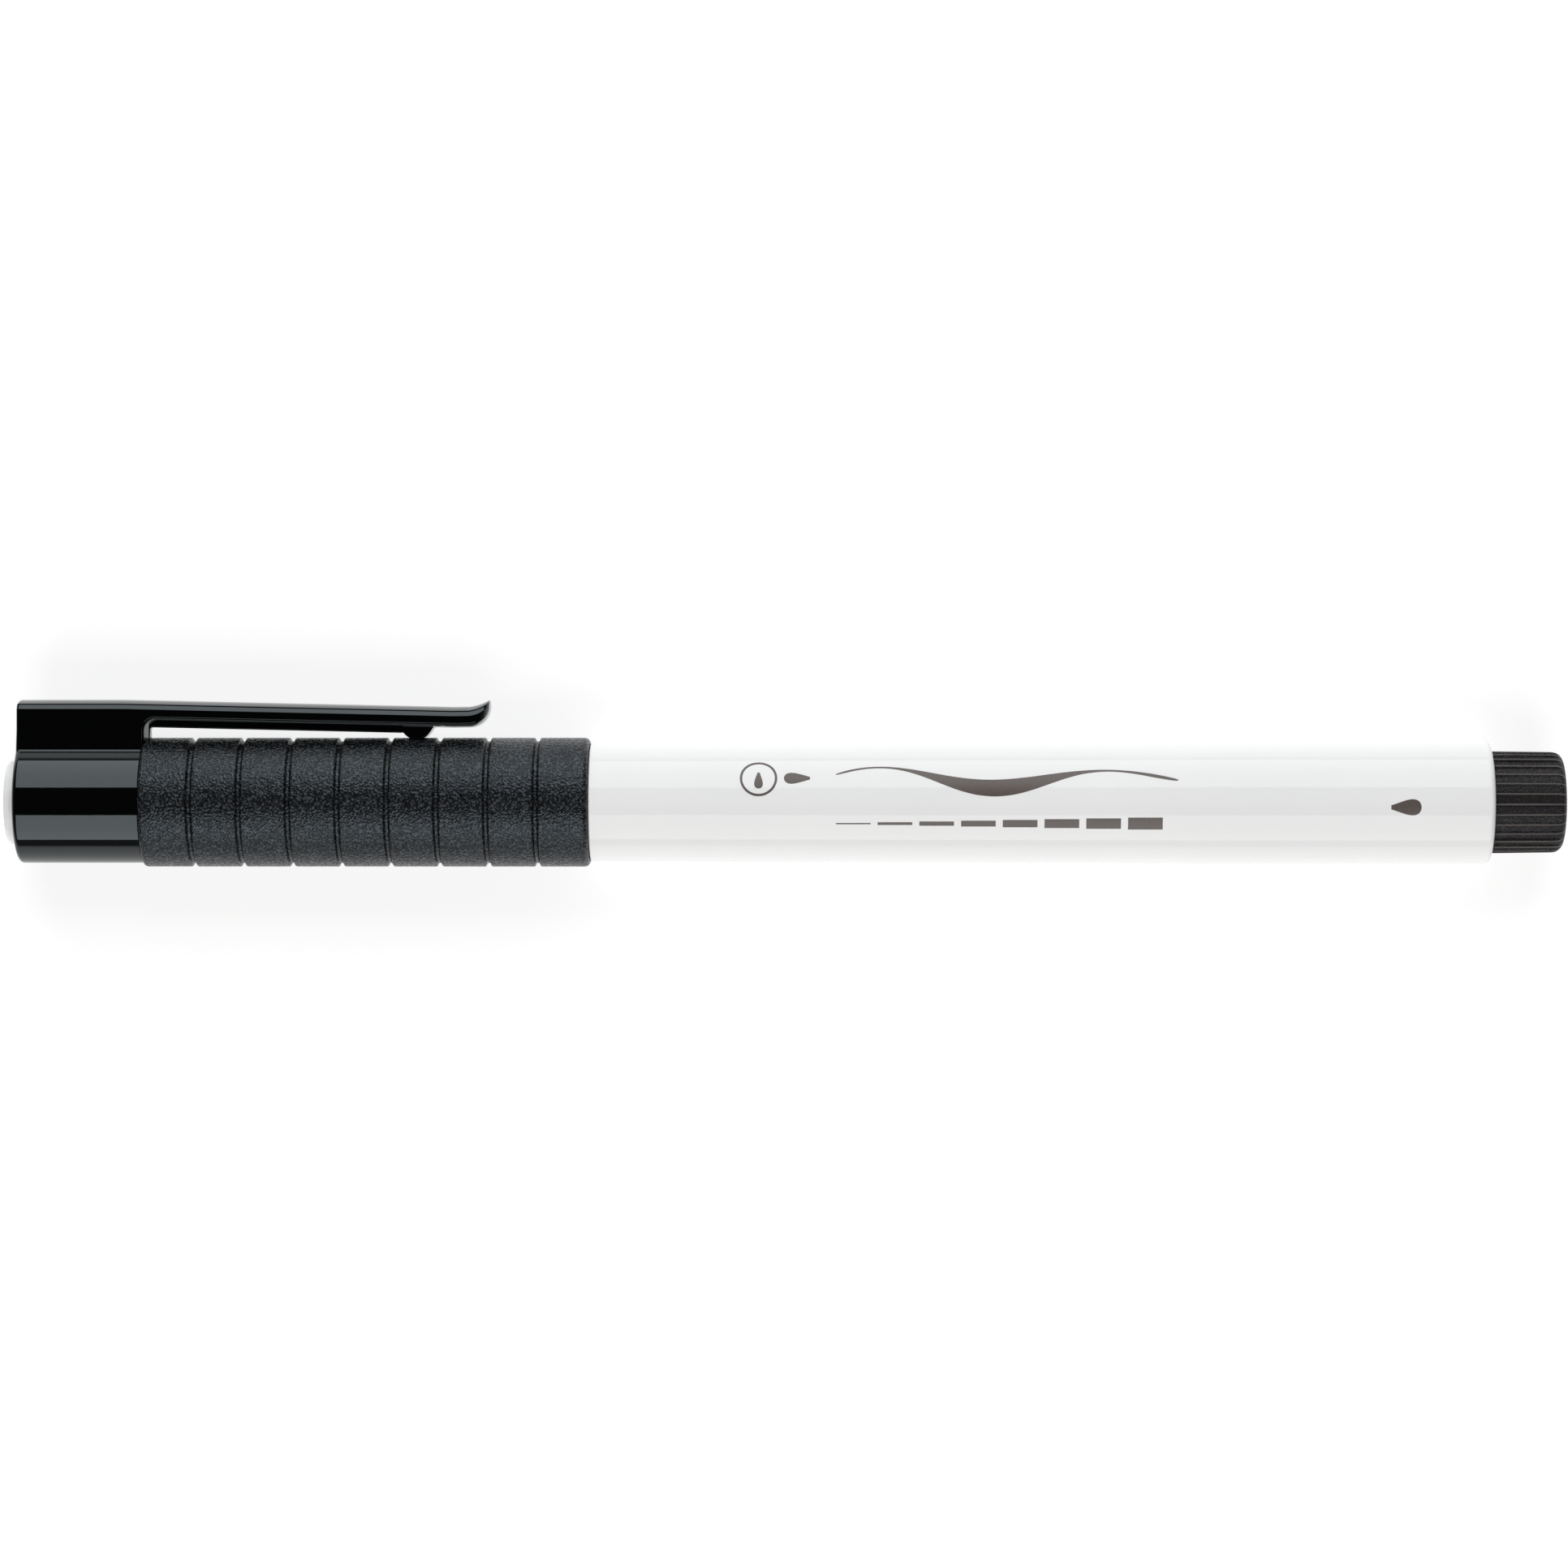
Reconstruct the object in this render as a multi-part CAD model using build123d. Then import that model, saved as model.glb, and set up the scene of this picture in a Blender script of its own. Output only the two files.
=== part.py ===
"""Capped brush pen, lying on its side: ribbed cap with a pocket clip, tapered barrel, fluted rear plug.

Millimetres. The pen's axis is X, and the clip points along +Y. The rear plug is at +X and the cap at -X.
The part's origin is on the pen's axis, in the middle of the barrel's parallel land, where a holder grips it.

The dimensions below are measured along X from the seam, where the cap's mouth meets the barrel's shoulder,
and towards the rear plug. write() moves the finished pieces from the seam to the part's own origin.
"""

import math
import os

from build123d import *

# Gap between faces that are pressed together, between faces that slide, and the lead-in at a tube's mouth
FIT_GAP = 0.01
SLIDE_GAP = 0.05
LEAD_IN = 0.2

# Barrel: a taper, then a parallel land up to the rounded rear edge
BARREL_FRONT_R, BARREL_REAR_R = 5.55, 5.765
LAND_START, BARREL_END = 60.0, 83.8
BARREL_REAR_ROUND, SHOULDER_ROUND = 0.75, 0.15
BARREL_BORE_R = 4.4
BORE_RIB_COUNT, BORE_RIB_WIDTH = 6, 0.6
BORE_RIB_START, BORE_RIB_END = 4.0, 72.0

# Neck of the barrel, which the cap closes on
NECK_FRONT, NECK_R = -8.6, 4.80
NECK_BORE_R, NECK_BORE_END = 3.95, 2.0
BEAD_X, BEAD_R, BEAD_HALF = -3.2, 4.92, 0.5

# Front section: spigot in the neck, tapered grip, land that the inner cap seals on, and nose
SECTION_SPIGOT_END, SECTION_BORE_R = 1.5, 3.56
GRIP_R, GRIP_ROUND = 4.62, 0.15
WAIST_X, WAIST_R, WAIST_ROUND = -26.6, 3.60, 0.3
SEAL_START, SEAL_END, SEAL_R = -27.1, -30.6, 3.20
NOSE_STEP, NOSE_X, NOSE_R, NOSE_ROUND = 0.35, -33.2, 2.15, 0.35
NIB_BORE_R, NIB_BORE_END = 1.62, -19.0

# Nib: a rod with a brush-shaped point at each end
NIB_R, NIB_POINT_R = 1.60, 0.14
NIB_TIP, NIB_TAIL = -41.2, -12.0
BRUSH_LENGTH, BRUSH_FULLNESS, BRUSH_STEPS = 8.0, 1.15, 8
NIB_POCKET_GAP = 0.02

# Reservoir and its film
RESERVOIR_R, RESERVOIR_START, RESERVOIR_END = 3.40, -16.0, 73.2
FILM_INNER_R, FILM_OUTER_R, FILM_SETBACK = 3.41, 3.50, 0.6

# Rear plug
PLUG_END, PLUG_ROUND = 90.49, 0.95
FLUTE_COUNT, FLUTE_ROOT_R = 30, 4.53
FLUTE_TIP_R, FLUTE_TIP_REAR_R = 4.76, 4.67
FLUTE_ROOT_HALF, FLUTE_TIP_HALF = 0.19, 0.06
PLUG_SPIGOT_START = 74.5
PLUG_WELL_R, PLUG_WELL_END = 3.55, 89.0
CROSS_START, CROSS_END = RESERVOIR_END + SLIDE_GAP, 80.0
CROSS_WIDTH, CROSS_STEM = 0.9, 2.0

# Cap sleeve, with its grooves numbered from the crown
SLEEVE_R, SLEEVE_BORE_R = 6.02, 4.95
SLEEVE_START, SLEEVE_MOUTH = -41.86, -SLIDE_GAP
SLEEVE_START_ROUND, SLEEVE_MOUTH_ROUND, MOUTH_FLARE = 0.35, 0.5, 0.3
GROOVE_COUNT, GROOVE_FIRST, GROOVE_PITCH = 8, -36.98, 4.58
GROOVE_TOP_HALF, GROOVE_FLOOR_HALF = 0.30, 0.13
GROOVE_DEPTH, GROOVE_ROUND = 0.33, 0.12
SNAP_GROOVE_R, SNAP_GROOVE_HALF = 5.06, 0.6

# Cap crown
CROWN_END, CROWN_R, CROWN_ROUND = -53.30, 5.68, 0.6
CROWN_SPIGOT_END = -28.0
CROWN_BORE_R, CROWN_BORE_END = 4.01, -51.0
CROWN_HOLE_R = 2.60

# Inner cap and the white plug in the crown's end
INNER_CAP_END, INNER_CAP_MOUTH = -50.7, -27.9
INNER_CAP_BORE_R, INNER_CAP_FLOOR = 3.45, -47.0
INNER_CAP_WELL_R, INNER_CAP_WELL_END = 2.2, -48.2
SEAL_LIP_R, SEAL_LIP_LENGTH = 3.23, 0.8
DISC_R, DISC_END, DISC_ROUND = 3.89, -54.48, 0.45
STEM_END = -50.8

# Clip: heights are along Y from the pen's axis, and drops are down from the clip's ridge
CLIP_HALF_WIDTH, CLIP_EDGE_HALF_WIDTH = 2.70, 2.50
CLIP_TOP, CLIP_BEND_X, CLIP_BEND_R = 9.58, -43.5, 60.0
FLARE_X, FLARE_HEIGHT = -12.05, 8.88
FLARE_R, FLARE_ANGLE = 4.6, 34.0
EDGE_DROP, BEVEL_DROP, SIDE_DROP = 0.50, 1.00, 1.67
TIER_DROP, UNDERSIDE_DROP, TIER_INSET = 1.72, 1.98, 0.2
HEEL_X, HEEL_R = -12.15, 2.65
TIP_CORNER_R = 1.5
CLIP_ROOT_X, CLIP_ROOT_GAP = -40.6, 0.02
BLOCK_FOOT, BLOCK_END_CHAMFER, SLOT_ROUND = 4.6, 0.3, 0.9
STIFFENER_HALF_WIDTH, STIFFENER_DROP = 0.7, 2.55
PIP_X, PIP_R, PIP_BOTTOM, PIP_HALF_WIDTH = -16.3, 1.16, 6.05, 1.1
PIP_RAMP_ANGLE, PIP_RAMP_X = 38.0, -14.75

# Longer than the pen's cap and wider than its clip, for cutting blocks
BEYOND = 60.0

LAND_END = BARREL_END - BARREL_REAR_ROUND
ORIGIN_X = (LAND_START + LAND_END) / 2


def turned(points, rounds=()):
    """Solid of revolution about X from (x, radius) points. rounds holds (point's index, fillet radius) pairs."""
    face = make_face(Polyline(*points, close=True))
    for index, radius in rounds:
        x, r = points[index]
        corner = face.vertices().sort_by_distance((x, r, 0))[0]
        face = fillet(corner, radius)
    return revolve(face, Axis.X, 360)


def rod(start, end, r):
    """Plain cylinder about X."""
    return turned([(start, 0), (start, r), (end, r), (end, 0)])


def tube(start, end, outer_r, inner_r):
    """Plain tube about X."""
    return turned([(start, inner_r), (start, outer_r), (end, outer_r), (end, inner_r)])


def plate(points, half_width):
    """Flat outline in the plane of X and Y, thickened to both sides."""
    return extrude(make_face(Polyline(*points, close=True)), half_width, both=True)


def barrel_shell():
    """White barrel: neck with a snap bead, taper, parallel land, and ribs inside that centre the reservoir."""
    points = [
        (NECK_FRONT, NECK_BORE_R),
        (NECK_FRONT, NECK_R - LEAD_IN),
        (NECK_FRONT + LEAD_IN, NECK_R),
        (BEAD_X - BEAD_HALF, NECK_R),
        (BEAD_X, BEAD_R),
        (BEAD_X + BEAD_HALF, NECK_R),
        (0, NECK_R),
        (0, BARREL_FRONT_R),
        (LAND_START, BARREL_REAR_R),
        (BARREL_END, BARREL_REAR_R),
        (BARREL_END, BARREL_BORE_R),
        (NECK_BORE_END, BARREL_BORE_R),
        (NECK_BORE_END, NECK_BORE_R),
    ]
    shell = turned(points, [(7, SHOULDER_ROUND), (9, BARREL_REAR_ROUND)])
    inner_r = FILM_OUTER_R + SLIDE_GAP
    reach = BARREL_BORE_R + LEAD_IN - inner_r
    bar = Box(BORE_RIB_END - BORE_RIB_START, reach, BORE_RIB_WIDTH)
    for step in range(BORE_RIB_COUNT):
        turn = Rot(X=360 * step / BORE_RIB_COUNT)
        shell += turn * Pos((BORE_RIB_START + BORE_RIB_END) / 2, inner_r + reach / 2, 0) * bar
    return shell


def front_section():
    """Black grip and nose, open from the reservoir's end to the nib's hole."""
    front = NECK_FRONT - FIT_GAP
    points = [
        (SECTION_SPIGOT_END, SECTION_BORE_R),
        (SECTION_SPIGOT_END, NECK_BORE_R - FIT_GAP),
        (front, NECK_BORE_R - FIT_GAP),
        (front, GRIP_R),
        (WAIST_X, WAIST_R),
        (SEAL_START, SEAL_R),
        (SEAL_END, SEAL_R),
        (SEAL_END - NOSE_STEP, SEAL_R - NOSE_STEP),
        (NOSE_X, NOSE_R),
        (NOSE_X, NIB_BORE_R),
        (NIB_BORE_END, NIB_BORE_R),
        (RESERVOIR_START - FILM_SETBACK, SECTION_BORE_R),
    ]
    return turned(points, [(3, GRIP_ROUND), (4, WAIST_ROUND), (8, NOSE_ROUND)])


def nib_outline(grow=0.0):
    """(x, radius) points of the double-ended nib, grown all round by grow: two slim ogives on a rod."""
    front, rear = [], []
    for step in range(BRUSH_STEPS + 1):
        share = step / BRUSH_STEPS
        swell = math.sin(share * math.pi / 2) ** BRUSH_FULLNESS
        r = NIB_POINT_R + (NIB_R - NIB_POINT_R) * swell + grow
        front.append((NIB_TIP - grow + share * BRUSH_LENGTH, r))
        rear.append((NIB_TAIL + grow - share * BRUSH_LENGTH, r))
    return [(NIB_TIP - grow, 0), *front, *reversed(rear), (NIB_TAIL + grow, 0)]


def brush_nib():
    return turned(nib_outline())


def ink_reservoir():
    """Fibre rod, with the pocket that the nib's tail presses into it."""
    return rod(RESERVOIR_START, RESERVOIR_END, RESERVOIR_R) - turned(nib_outline(NIB_POCKET_GAP))


def reservoir_film():
    """Film wrapped round the fibre rod."""
    return tube(RESERVOIR_START + FILM_SETBACK, RESERVOIR_END - FILM_SETBACK, FILM_OUTER_R, FILM_INNER_R)


def flutes(start, end):
    """Rod with raised flutes all round, from start to end."""
    root, tip = FLUTE_ROOT_HALF / FLUTE_ROOT_R, FLUTE_TIP_HALF / FLUTE_TIP_R
    corners = [(-root, FLUTE_ROOT_R), (-tip, FLUTE_TIP_R), (tip, FLUTE_TIP_R), (root, FLUTE_ROOT_R)]
    points = []
    for step in range(FLUTE_COUNT):
        middle = 2 * math.pi * step / FLUTE_COUNT
        for offset, r in corners:
            points.append((r * math.cos(middle + offset), r * math.sin(middle + offset)))
    section = make_face(Polyline(*points, close=True))
    return Pos(start, 0, 0) * extrude(Plane.YZ * section, end - start)


def end_plug():
    """Fluted rear plug with a hollow spigot, and a cross on a stem inside it that stops the reservoir."""
    head_start = BARREL_END + FIT_GAP
    spigot_r = BARREL_BORE_R - FIT_GAP
    envelope = turned(
        [(head_start, 0), (head_start, FLUTE_TIP_R), (PLUG_END, FLUTE_TIP_REAR_R), (PLUG_END, 0)],
        [(2, PLUG_ROUND)],
    )
    spigot = turned([
        (PLUG_SPIGOT_START, 0),
        (PLUG_SPIGOT_START, spigot_r - LEAD_IN),
        (PLUG_SPIGOT_START + 3 * LEAD_IN, spigot_r),
        (head_start, spigot_r),
        (head_start, 0),
    ])
    well = rod(CROSS_START, PLUG_WELL_END, PLUG_WELL_R)
    shell = (flutes(head_start, PLUG_END) & envelope) + spigot - well
    blade = Box(CROSS_END - CROSS_START, 2 * PLUG_WELL_R - LEAD_IN, CROSS_WIDTH)
    cross = Pos((CROSS_START + CROSS_END) / 2, 0, 0) * (blade + Rot(X=90) * blade)
    stem_length = PLUG_WELL_END + LEAD_IN - CROSS_END
    stem = Pos(CROSS_END + stem_length / 2, 0, 0) * Box(stem_length, CROSS_STEM, CROSS_STEM)
    return shell + cross + stem


def cap_sleeve():
    """Ribbed outer tube of the cap, with a snap groove inside for the neck's bead."""
    points = [(SLEEVE_START, SLEEVE_BORE_R), (SLEEVE_START, SLEEVE_R)]
    rounds = [(1, SLEEVE_START_ROUND)]
    for step in range(GROOVE_COUNT):
        x = GROOVE_FIRST + step * GROOVE_PITCH
        rounds += [(len(points), GROOVE_ROUND), (len(points) + 3, GROOVE_ROUND)]
        points += [
            (x - GROOVE_TOP_HALF, SLEEVE_R),
            (x - GROOVE_FLOOR_HALF, SLEEVE_R - GROOVE_DEPTH),
            (x + GROOVE_FLOOR_HALF, SLEEVE_R - GROOVE_DEPTH),
            (x + GROOVE_TOP_HALF, SLEEVE_R),
        ]
    rounds.append((len(points), SLEEVE_MOUTH_ROUND))
    points += [
        (SLEEVE_MOUTH, SLEEVE_R),
        (SLEEVE_MOUTH, SLEEVE_BORE_R + MOUTH_FLARE),
        (SLEEVE_MOUTH - MOUTH_FLARE, SLEEVE_BORE_R),
        (BEAD_X + SNAP_GROOVE_HALF, SLEEVE_BORE_R),
        (BEAD_X, SNAP_GROOVE_R),
        (BEAD_X - SNAP_GROOVE_HALF, SLEEVE_BORE_R),
    ]
    return turned(points, rounds)


def arm_height(x):
    """Height of the clip's ridge at x, along its sloping arm."""
    return CLIP_TOP + (FLARE_HEIGHT - CLIP_TOP) * (x - CLIP_BEND_X) / (FLARE_X - CLIP_BEND_X)


def clip_path():
    """Line of the clip's ridge, from the crown's end to the flared tip."""
    slope = math.atan2(CLIP_TOP - FLARE_HEIGHT, FLARE_X - CLIP_BEND_X)
    block = Line((CROWN_END, CLIP_TOP), (CLIP_BEND_X, CLIP_TOP))
    bend = JernArc(block @ 1, block % 1, CLIP_BEND_R, -math.degrees(slope))
    reach = (FLARE_X - (bend @ 1).X) / math.cos(slope)
    arm = Line(bend @ 1, bend @ 1 + (bend % 1) * reach)
    flare = JernArc(arm @ 1, arm % 1, FLARE_R, FLARE_ANGLE)
    return block + bend + arm + flare


def clip_section():
    """Cross-section of the clip: crowned top, bevels, flat sides, and a narrower tier along the underside."""
    half, edge, tier = CLIP_HALF_WIDTH, CLIP_EDGE_HALF_WIDTH, CLIP_HALF_WIDTH - TIER_INSET
    side = [
        (edge, -EDGE_DROP),
        (half, -BEVEL_DROP),
        (half, -SIDE_DROP),
        (tier, -TIER_DROP),
        (tier, -UNDERSIDE_DROP),
    ]
    other_side = [(-z, y) for z, y in reversed(side)]
    crown = ThreePointArc(other_side[-1], (0, 0), side[0])
    plane = Plane(origin=(CROWN_END, CLIP_TOP, 0), x_dir=(0, 0, -1), z_dir=(1, 0, 0))
    return plane * make_face(crown + Polyline(*side, *other_side))


def clip_bar():
    """The clip's swept bar over block and arm, with its heel rounded in profile and its tip rounded in plan."""
    bar = sweep(clip_section(), clip_path())
    heel_y = arm_height(HEEL_X) - UNDERSIDE_DROP + HEEL_R
    length = HEEL_X - CROWN_END
    profile = Pos(HEEL_X, heel_y) * Circle(HEEL_R)
    profile += Pos(HEEL_X - length / 2, heel_y) * Rectangle(length, 2 * HEEL_R)
    tip_x = HEEL_X + HEEL_R
    plan_length = tip_x - CROWN_END + 2 * TIP_CORNER_R
    plan = Pos(tip_x - plan_length / 2, 0) * RectangleRounded(plan_length, 2 * CLIP_HALF_WIDTH, TIP_CORNER_R)
    return bar & extrude(profile, BEYOND, both=True) & extrude(Plane.XZ * plan, BEYOND, both=True)


def clip_block():
    """The block between crown and clip, with the slot's rounded corner, up to the arm's root."""
    under = arm_height(CLIP_ROOT_X) - SIDE_DROP
    roof = CLIP_TOP - BEVEL_DROP
    points = [
        (CROWN_END, BLOCK_FOOT),
        (SLEEVE_START, BLOCK_FOOT),
        (SLEEVE_START, under),
        (CLIP_ROOT_X, under),
        (CLIP_ROOT_X, under + SIDE_DROP - BEVEL_DROP),
        (CLIP_BEND_X, roof),
        (CROWN_END, roof),
    ]
    face = make_face(Polyline(*points, close=True))
    corner = face.vertices().sort_by_distance((SLEEVE_START, under, 0))[0]
    return extrude(fillet(corner, SLOT_ROUND), CLIP_HALF_WIDTH, both=True)


def beside_root(x, side):
    """Everything beyond x: on the crown's side if side is -1, and on the tip's side if it is 1."""
    return Pos(x + side * BEYOND / 2, 0, 0) * Box(BEYOND, BEYOND, BEYOND)


def cap_crown():
    """Glossy crown with the clip's block, its spigot in the sleeve, and the hole for the white plug."""
    shell = turned(
        [
            (CROWN_END, CROWN_HOLE_R),
            (CROWN_END, CROWN_R),
            (SLEEVE_START - FIT_GAP, CROWN_R),
            (SLEEVE_START - FIT_GAP, SLEEVE_BORE_R - FIT_GAP),
            (CROWN_SPIGOT_END, SLEEVE_BORE_R - FIT_GAP),
            (CROWN_SPIGOT_END, CROWN_BORE_R),
            (CROWN_BORE_END, CROWN_BORE_R),
            (CROWN_BORE_END, CROWN_HOLE_R),
        ],
        [(1, CROWN_ROUND)],
    )
    block = clip_block() + (clip_bar() & beside_root(CLIP_ROOT_X, -1))
    side = math.sqrt(2) * BLOCK_END_CHAMFER
    cutter = Pos(CROWN_END, CLIP_TOP, 0) * Rot(Z=45) * Box(side, side, BEYOND)
    return shell + (block - cutter)


def clip_pip():
    """Rounded pip that presses on the sleeve, with a ramp behind it for the pocket's edge."""
    centre_y = PIP_BOTTOM + PIP_R
    angle = math.radians(PIP_RAMP_ANGLE)
    outline = Pos(PIP_X, centre_y) * Circle(PIP_R)
    outline += make_face(Polyline(
        (PIP_X, centre_y),
        (PIP_X + PIP_R * math.cos(angle), centre_y - PIP_R * math.sin(angle)),
        (PIP_RAMP_X, arm_height(PIP_RAMP_X) - UNDERSIDE_DROP),
        (PIP_RAMP_X, arm_height(PIP_RAMP_X) - SIDE_DROP),
        (PIP_X, arm_height(PIP_X) - SIDE_DROP),
        close=True,
    ))
    return extrude(outline, PIP_HALF_WIDTH, both=True)


def clip_arm():
    """The springy arm, with the stiffener along its underside and the pip."""
    start = CLIP_ROOT_X + CLIP_ROOT_GAP
    arm = clip_bar() & beside_root(start, 1)
    stiffener = plate(
        [
            (start, arm_height(start) - SIDE_DROP),
            (PIP_X, arm_height(PIP_X) - SIDE_DROP),
            (PIP_X, arm_height(PIP_X) - STIFFENER_DROP),
            (start, arm_height(start) - STIFFENER_DROP),
        ],
        STIFFENER_HALF_WIDTH,
    )
    return arm + stiffener + clip_pip()


def inner_cap():
    """Cup that seals round the nose so that the nib can't dry."""
    outer_r = CROWN_BORE_R - 2 * FIT_GAP
    lip_end = INNER_CAP_MOUTH - SEAL_LIP_LENGTH
    return turned([
        (INNER_CAP_END, 0),
        (INNER_CAP_END, outer_r - LEAD_IN),
        (INNER_CAP_END + LEAD_IN, outer_r),
        (INNER_CAP_MOUTH, outer_r),
        (INNER_CAP_MOUTH, SEAL_LIP_R + LEAD_IN),
        (INNER_CAP_MOUTH - LEAD_IN, SEAL_LIP_R),
        (lip_end, SEAL_LIP_R),
        (lip_end - LEAD_IN, INNER_CAP_BORE_R),
        (INNER_CAP_FLOOR, INNER_CAP_BORE_R),
        (INNER_CAP_FLOOR, INNER_CAP_WELL_R),
        (INNER_CAP_WELL_END, INNER_CAP_WELL_R),
        (INNER_CAP_WELL_END, 0),
    ])


def colour_plug():
    """Round white plug in the crown's end: a disc that stands proud, on a stem."""
    seat = CROWN_END - FIT_GAP
    stem_r = CROWN_HOLE_R - FIT_GAP
    return turned(
        [
            (DISC_END, 0),
            (DISC_END, DISC_R),
            (seat, DISC_R),
            (seat, stem_r),
            (STEM_END - LEAD_IN, stem_r),
            (STEM_END, stem_r - LEAD_IN),
            (STEM_END, 0),
        ],
        [(1, DISC_ROUND)],
    )


PIECES = [
    barrel_shell,
    front_section,
    brush_nib,
    ink_reservoir,
    reservoir_film,
    end_plug,
    cap_sleeve,
    cap_crown,
    clip_arm,
    inner_cap,
    colour_plug,
]


def write():
    """Builds each piece, moves it to the part's origin and writes parts/NODE.step."""
    os.makedirs("parts", exist_ok=True)
    for piece in PIECES:
        shape = Pos(-ORIGIN_X, 0, 0) * piece()
        export_step(shape, f"parts/{piece.__name__}.step")


write()
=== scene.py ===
"""Looks of the capped brush pen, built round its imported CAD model.

The pen's axis is X, its clip points along +Y and it lies on a pale floor. Sizes are in millimetres, and X is
counted from the seam between the cap and the barrel, towards the rear plug. at() turns both into metres in
the row frame.
"""

import math

import bmesh
import bpy
from mathutils import Matrix, Vector


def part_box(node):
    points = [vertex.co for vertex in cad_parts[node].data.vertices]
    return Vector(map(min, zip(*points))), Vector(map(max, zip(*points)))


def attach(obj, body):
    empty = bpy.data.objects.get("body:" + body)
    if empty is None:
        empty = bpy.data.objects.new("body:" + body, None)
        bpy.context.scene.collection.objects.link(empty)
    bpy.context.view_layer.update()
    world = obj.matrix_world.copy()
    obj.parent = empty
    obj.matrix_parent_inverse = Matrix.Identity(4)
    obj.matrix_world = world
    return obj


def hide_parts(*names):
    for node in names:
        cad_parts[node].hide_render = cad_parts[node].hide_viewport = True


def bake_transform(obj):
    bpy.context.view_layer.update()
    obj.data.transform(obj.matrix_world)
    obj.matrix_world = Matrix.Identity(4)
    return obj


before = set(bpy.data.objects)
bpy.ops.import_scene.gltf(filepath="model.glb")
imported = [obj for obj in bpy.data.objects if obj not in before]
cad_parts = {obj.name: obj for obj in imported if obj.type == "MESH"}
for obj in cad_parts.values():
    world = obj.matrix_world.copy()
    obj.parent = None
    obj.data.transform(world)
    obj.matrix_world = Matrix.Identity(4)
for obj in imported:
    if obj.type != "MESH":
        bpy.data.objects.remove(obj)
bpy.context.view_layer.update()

MM = 0.001
SLEEVE_GAP = 0.05
SEAM_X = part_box("cap_sleeve")[1].x + SLEEVE_GAP * MM
FLOOR_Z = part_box("cap_sleeve")[0].z
ROUND_STEPS = 6
SUPPORT = 0.02
TURN_STEPS = 192

# Barrel and its neck
BARREL_FRONT_R, BARREL_REAR_R, LAND_START, BARREL_END = 5.55, 5.765, 60.0, 83.8
REAR_ROUND_LENGTH, REAR_ROUND_DEPTH, SHOULDER_ROUND = 0.55, 0.90, 0.15
BARREL_BORE_R, BORE_RIB_R, BORE_RIB_HALF = 4.4, 3.55, 0.3
BORE_RIB_COUNT, BORE_RIB_START, BORE_RIB_END = 6, 4.0, 72.0
NECK_FRONT, NECK_R, NECK_BORE_R, NECK_BORE_END = -8.6, 4.80, 3.95, 2.0
BEAD_X, BEAD_R, BEAD_HALF = -3.2, 4.92, 0.5

# Front section and nib
SECTION_SPIGOT_END, SECTION_SPIGOT_R, SECTION_BORE_R = 1.5, 3.94, 3.56
GRIP_FRONT, GRIP_R, WAIST_X, WAIST_R = -8.61, 4.62, -26.6, 3.60
SEAL_START, SEAL_END, SEAL_R = -27.1, -30.6, 3.20
NOSE_STEP, NOSE_X, NOSE_R, NIB_BORE_R, NIB_BORE_END = 0.35, -33.2, 2.15, 1.62, -19.0
RESERVOIR_START = -16.6
NIB_R, NIB_POINT_R, NIB_TIP, NIB_TAIL = 1.60, 0.14, -41.2, -12.0
BRUSH_LENGTH, BRUSH_FULLNESS = 8.0, 1.15
STRAND_COUNT, STRAND_DEPTH = 32, 0.05

# Rear plug
PLUG_START, PLUG_END, PLUG_ROUND = 83.81, 90.49, 0.95
FLUTE_COUNT, FLUTE_ROOT_R, FLUTE_TIP_R, FLUTE_TIP_REAR_R = 30, 4.53, 4.76, 4.67
FLUTE_ROOT_HALF, FLUTE_TIP_HALF, FLUTE_PHASE, FLUTE_POINTS = 0.17, 0.05, 8.4, 18
PLUG_SPIGOT_START, PLUG_SPIGOT_R = 74.5, 4.39
PLUG_WELL_R, PLUG_WELL_END = 3.55, 89.0
PLUG_LEAD_IN, PLUG_EDGE_CHAMFER = 0.6, 0.12
DISH_R, DISH_FLOOR_R, DISH_DEPTH, GATE_R, GATE_DEPTH = 2.9, 2.62, 0.22, 0.42, 0.30
STOP_START, STOP_END, STOP_REACH, STOP_HALF, STOP_STEM = 73.25, 80.0, 3.45, 0.45, 1.0

# Cap
SLEEVE_START, SLEEVE_R, SLEEVE_BORE_R = -41.72, 6.02, 4.95
SLEEVE_START_ROUND, SLEEVE_MOUTH_ROUND, MOUTH_FLARE = 0.35, 0.5, 0.3
GROOVE_COUNT, GROOVE_FIRST, GROOVE_PITCH = 8, -36.98, 4.58
GROOVE_TOP_HALF, GROOVE_FLOOR_HALF, GROOVE_DEPTH, GROOVE_ROUND = 0.30, 0.13, 0.33, 0.12
BEAD_GROOVE_R, BEAD_GROOVE_HALF = 5.06, 0.6
CROWN_END, CROWN_R, CROWN_ROUND, CROWN_HOLE_R = -53.40, 5.68, 0.45, 2.60
CROWN_BORE_R, CROWN_BORE_END, CROWN_SPIGOT_END = 4.01, -51.0, -28.0
INNER_CAP_END, INNER_CAP_MOUTH, INNER_CAP_R, INNER_CAP_BORE_R = -50.7, -27.9, 3.99, 3.45
INNER_CAP_FLOOR, INNER_CAP_WELL_R, INNER_CAP_WELL_END = -47.0, 2.2, -48.2
SEAL_LIP_R, SEAL_LIP_LENGTH = 3.23, 0.8
DISC_R, DISC_END, DISC_ROUND, DISC_STEM_R, DISC_STEM_END = 3.89, -54.48, 0.45, 2.59, -50.8

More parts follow.
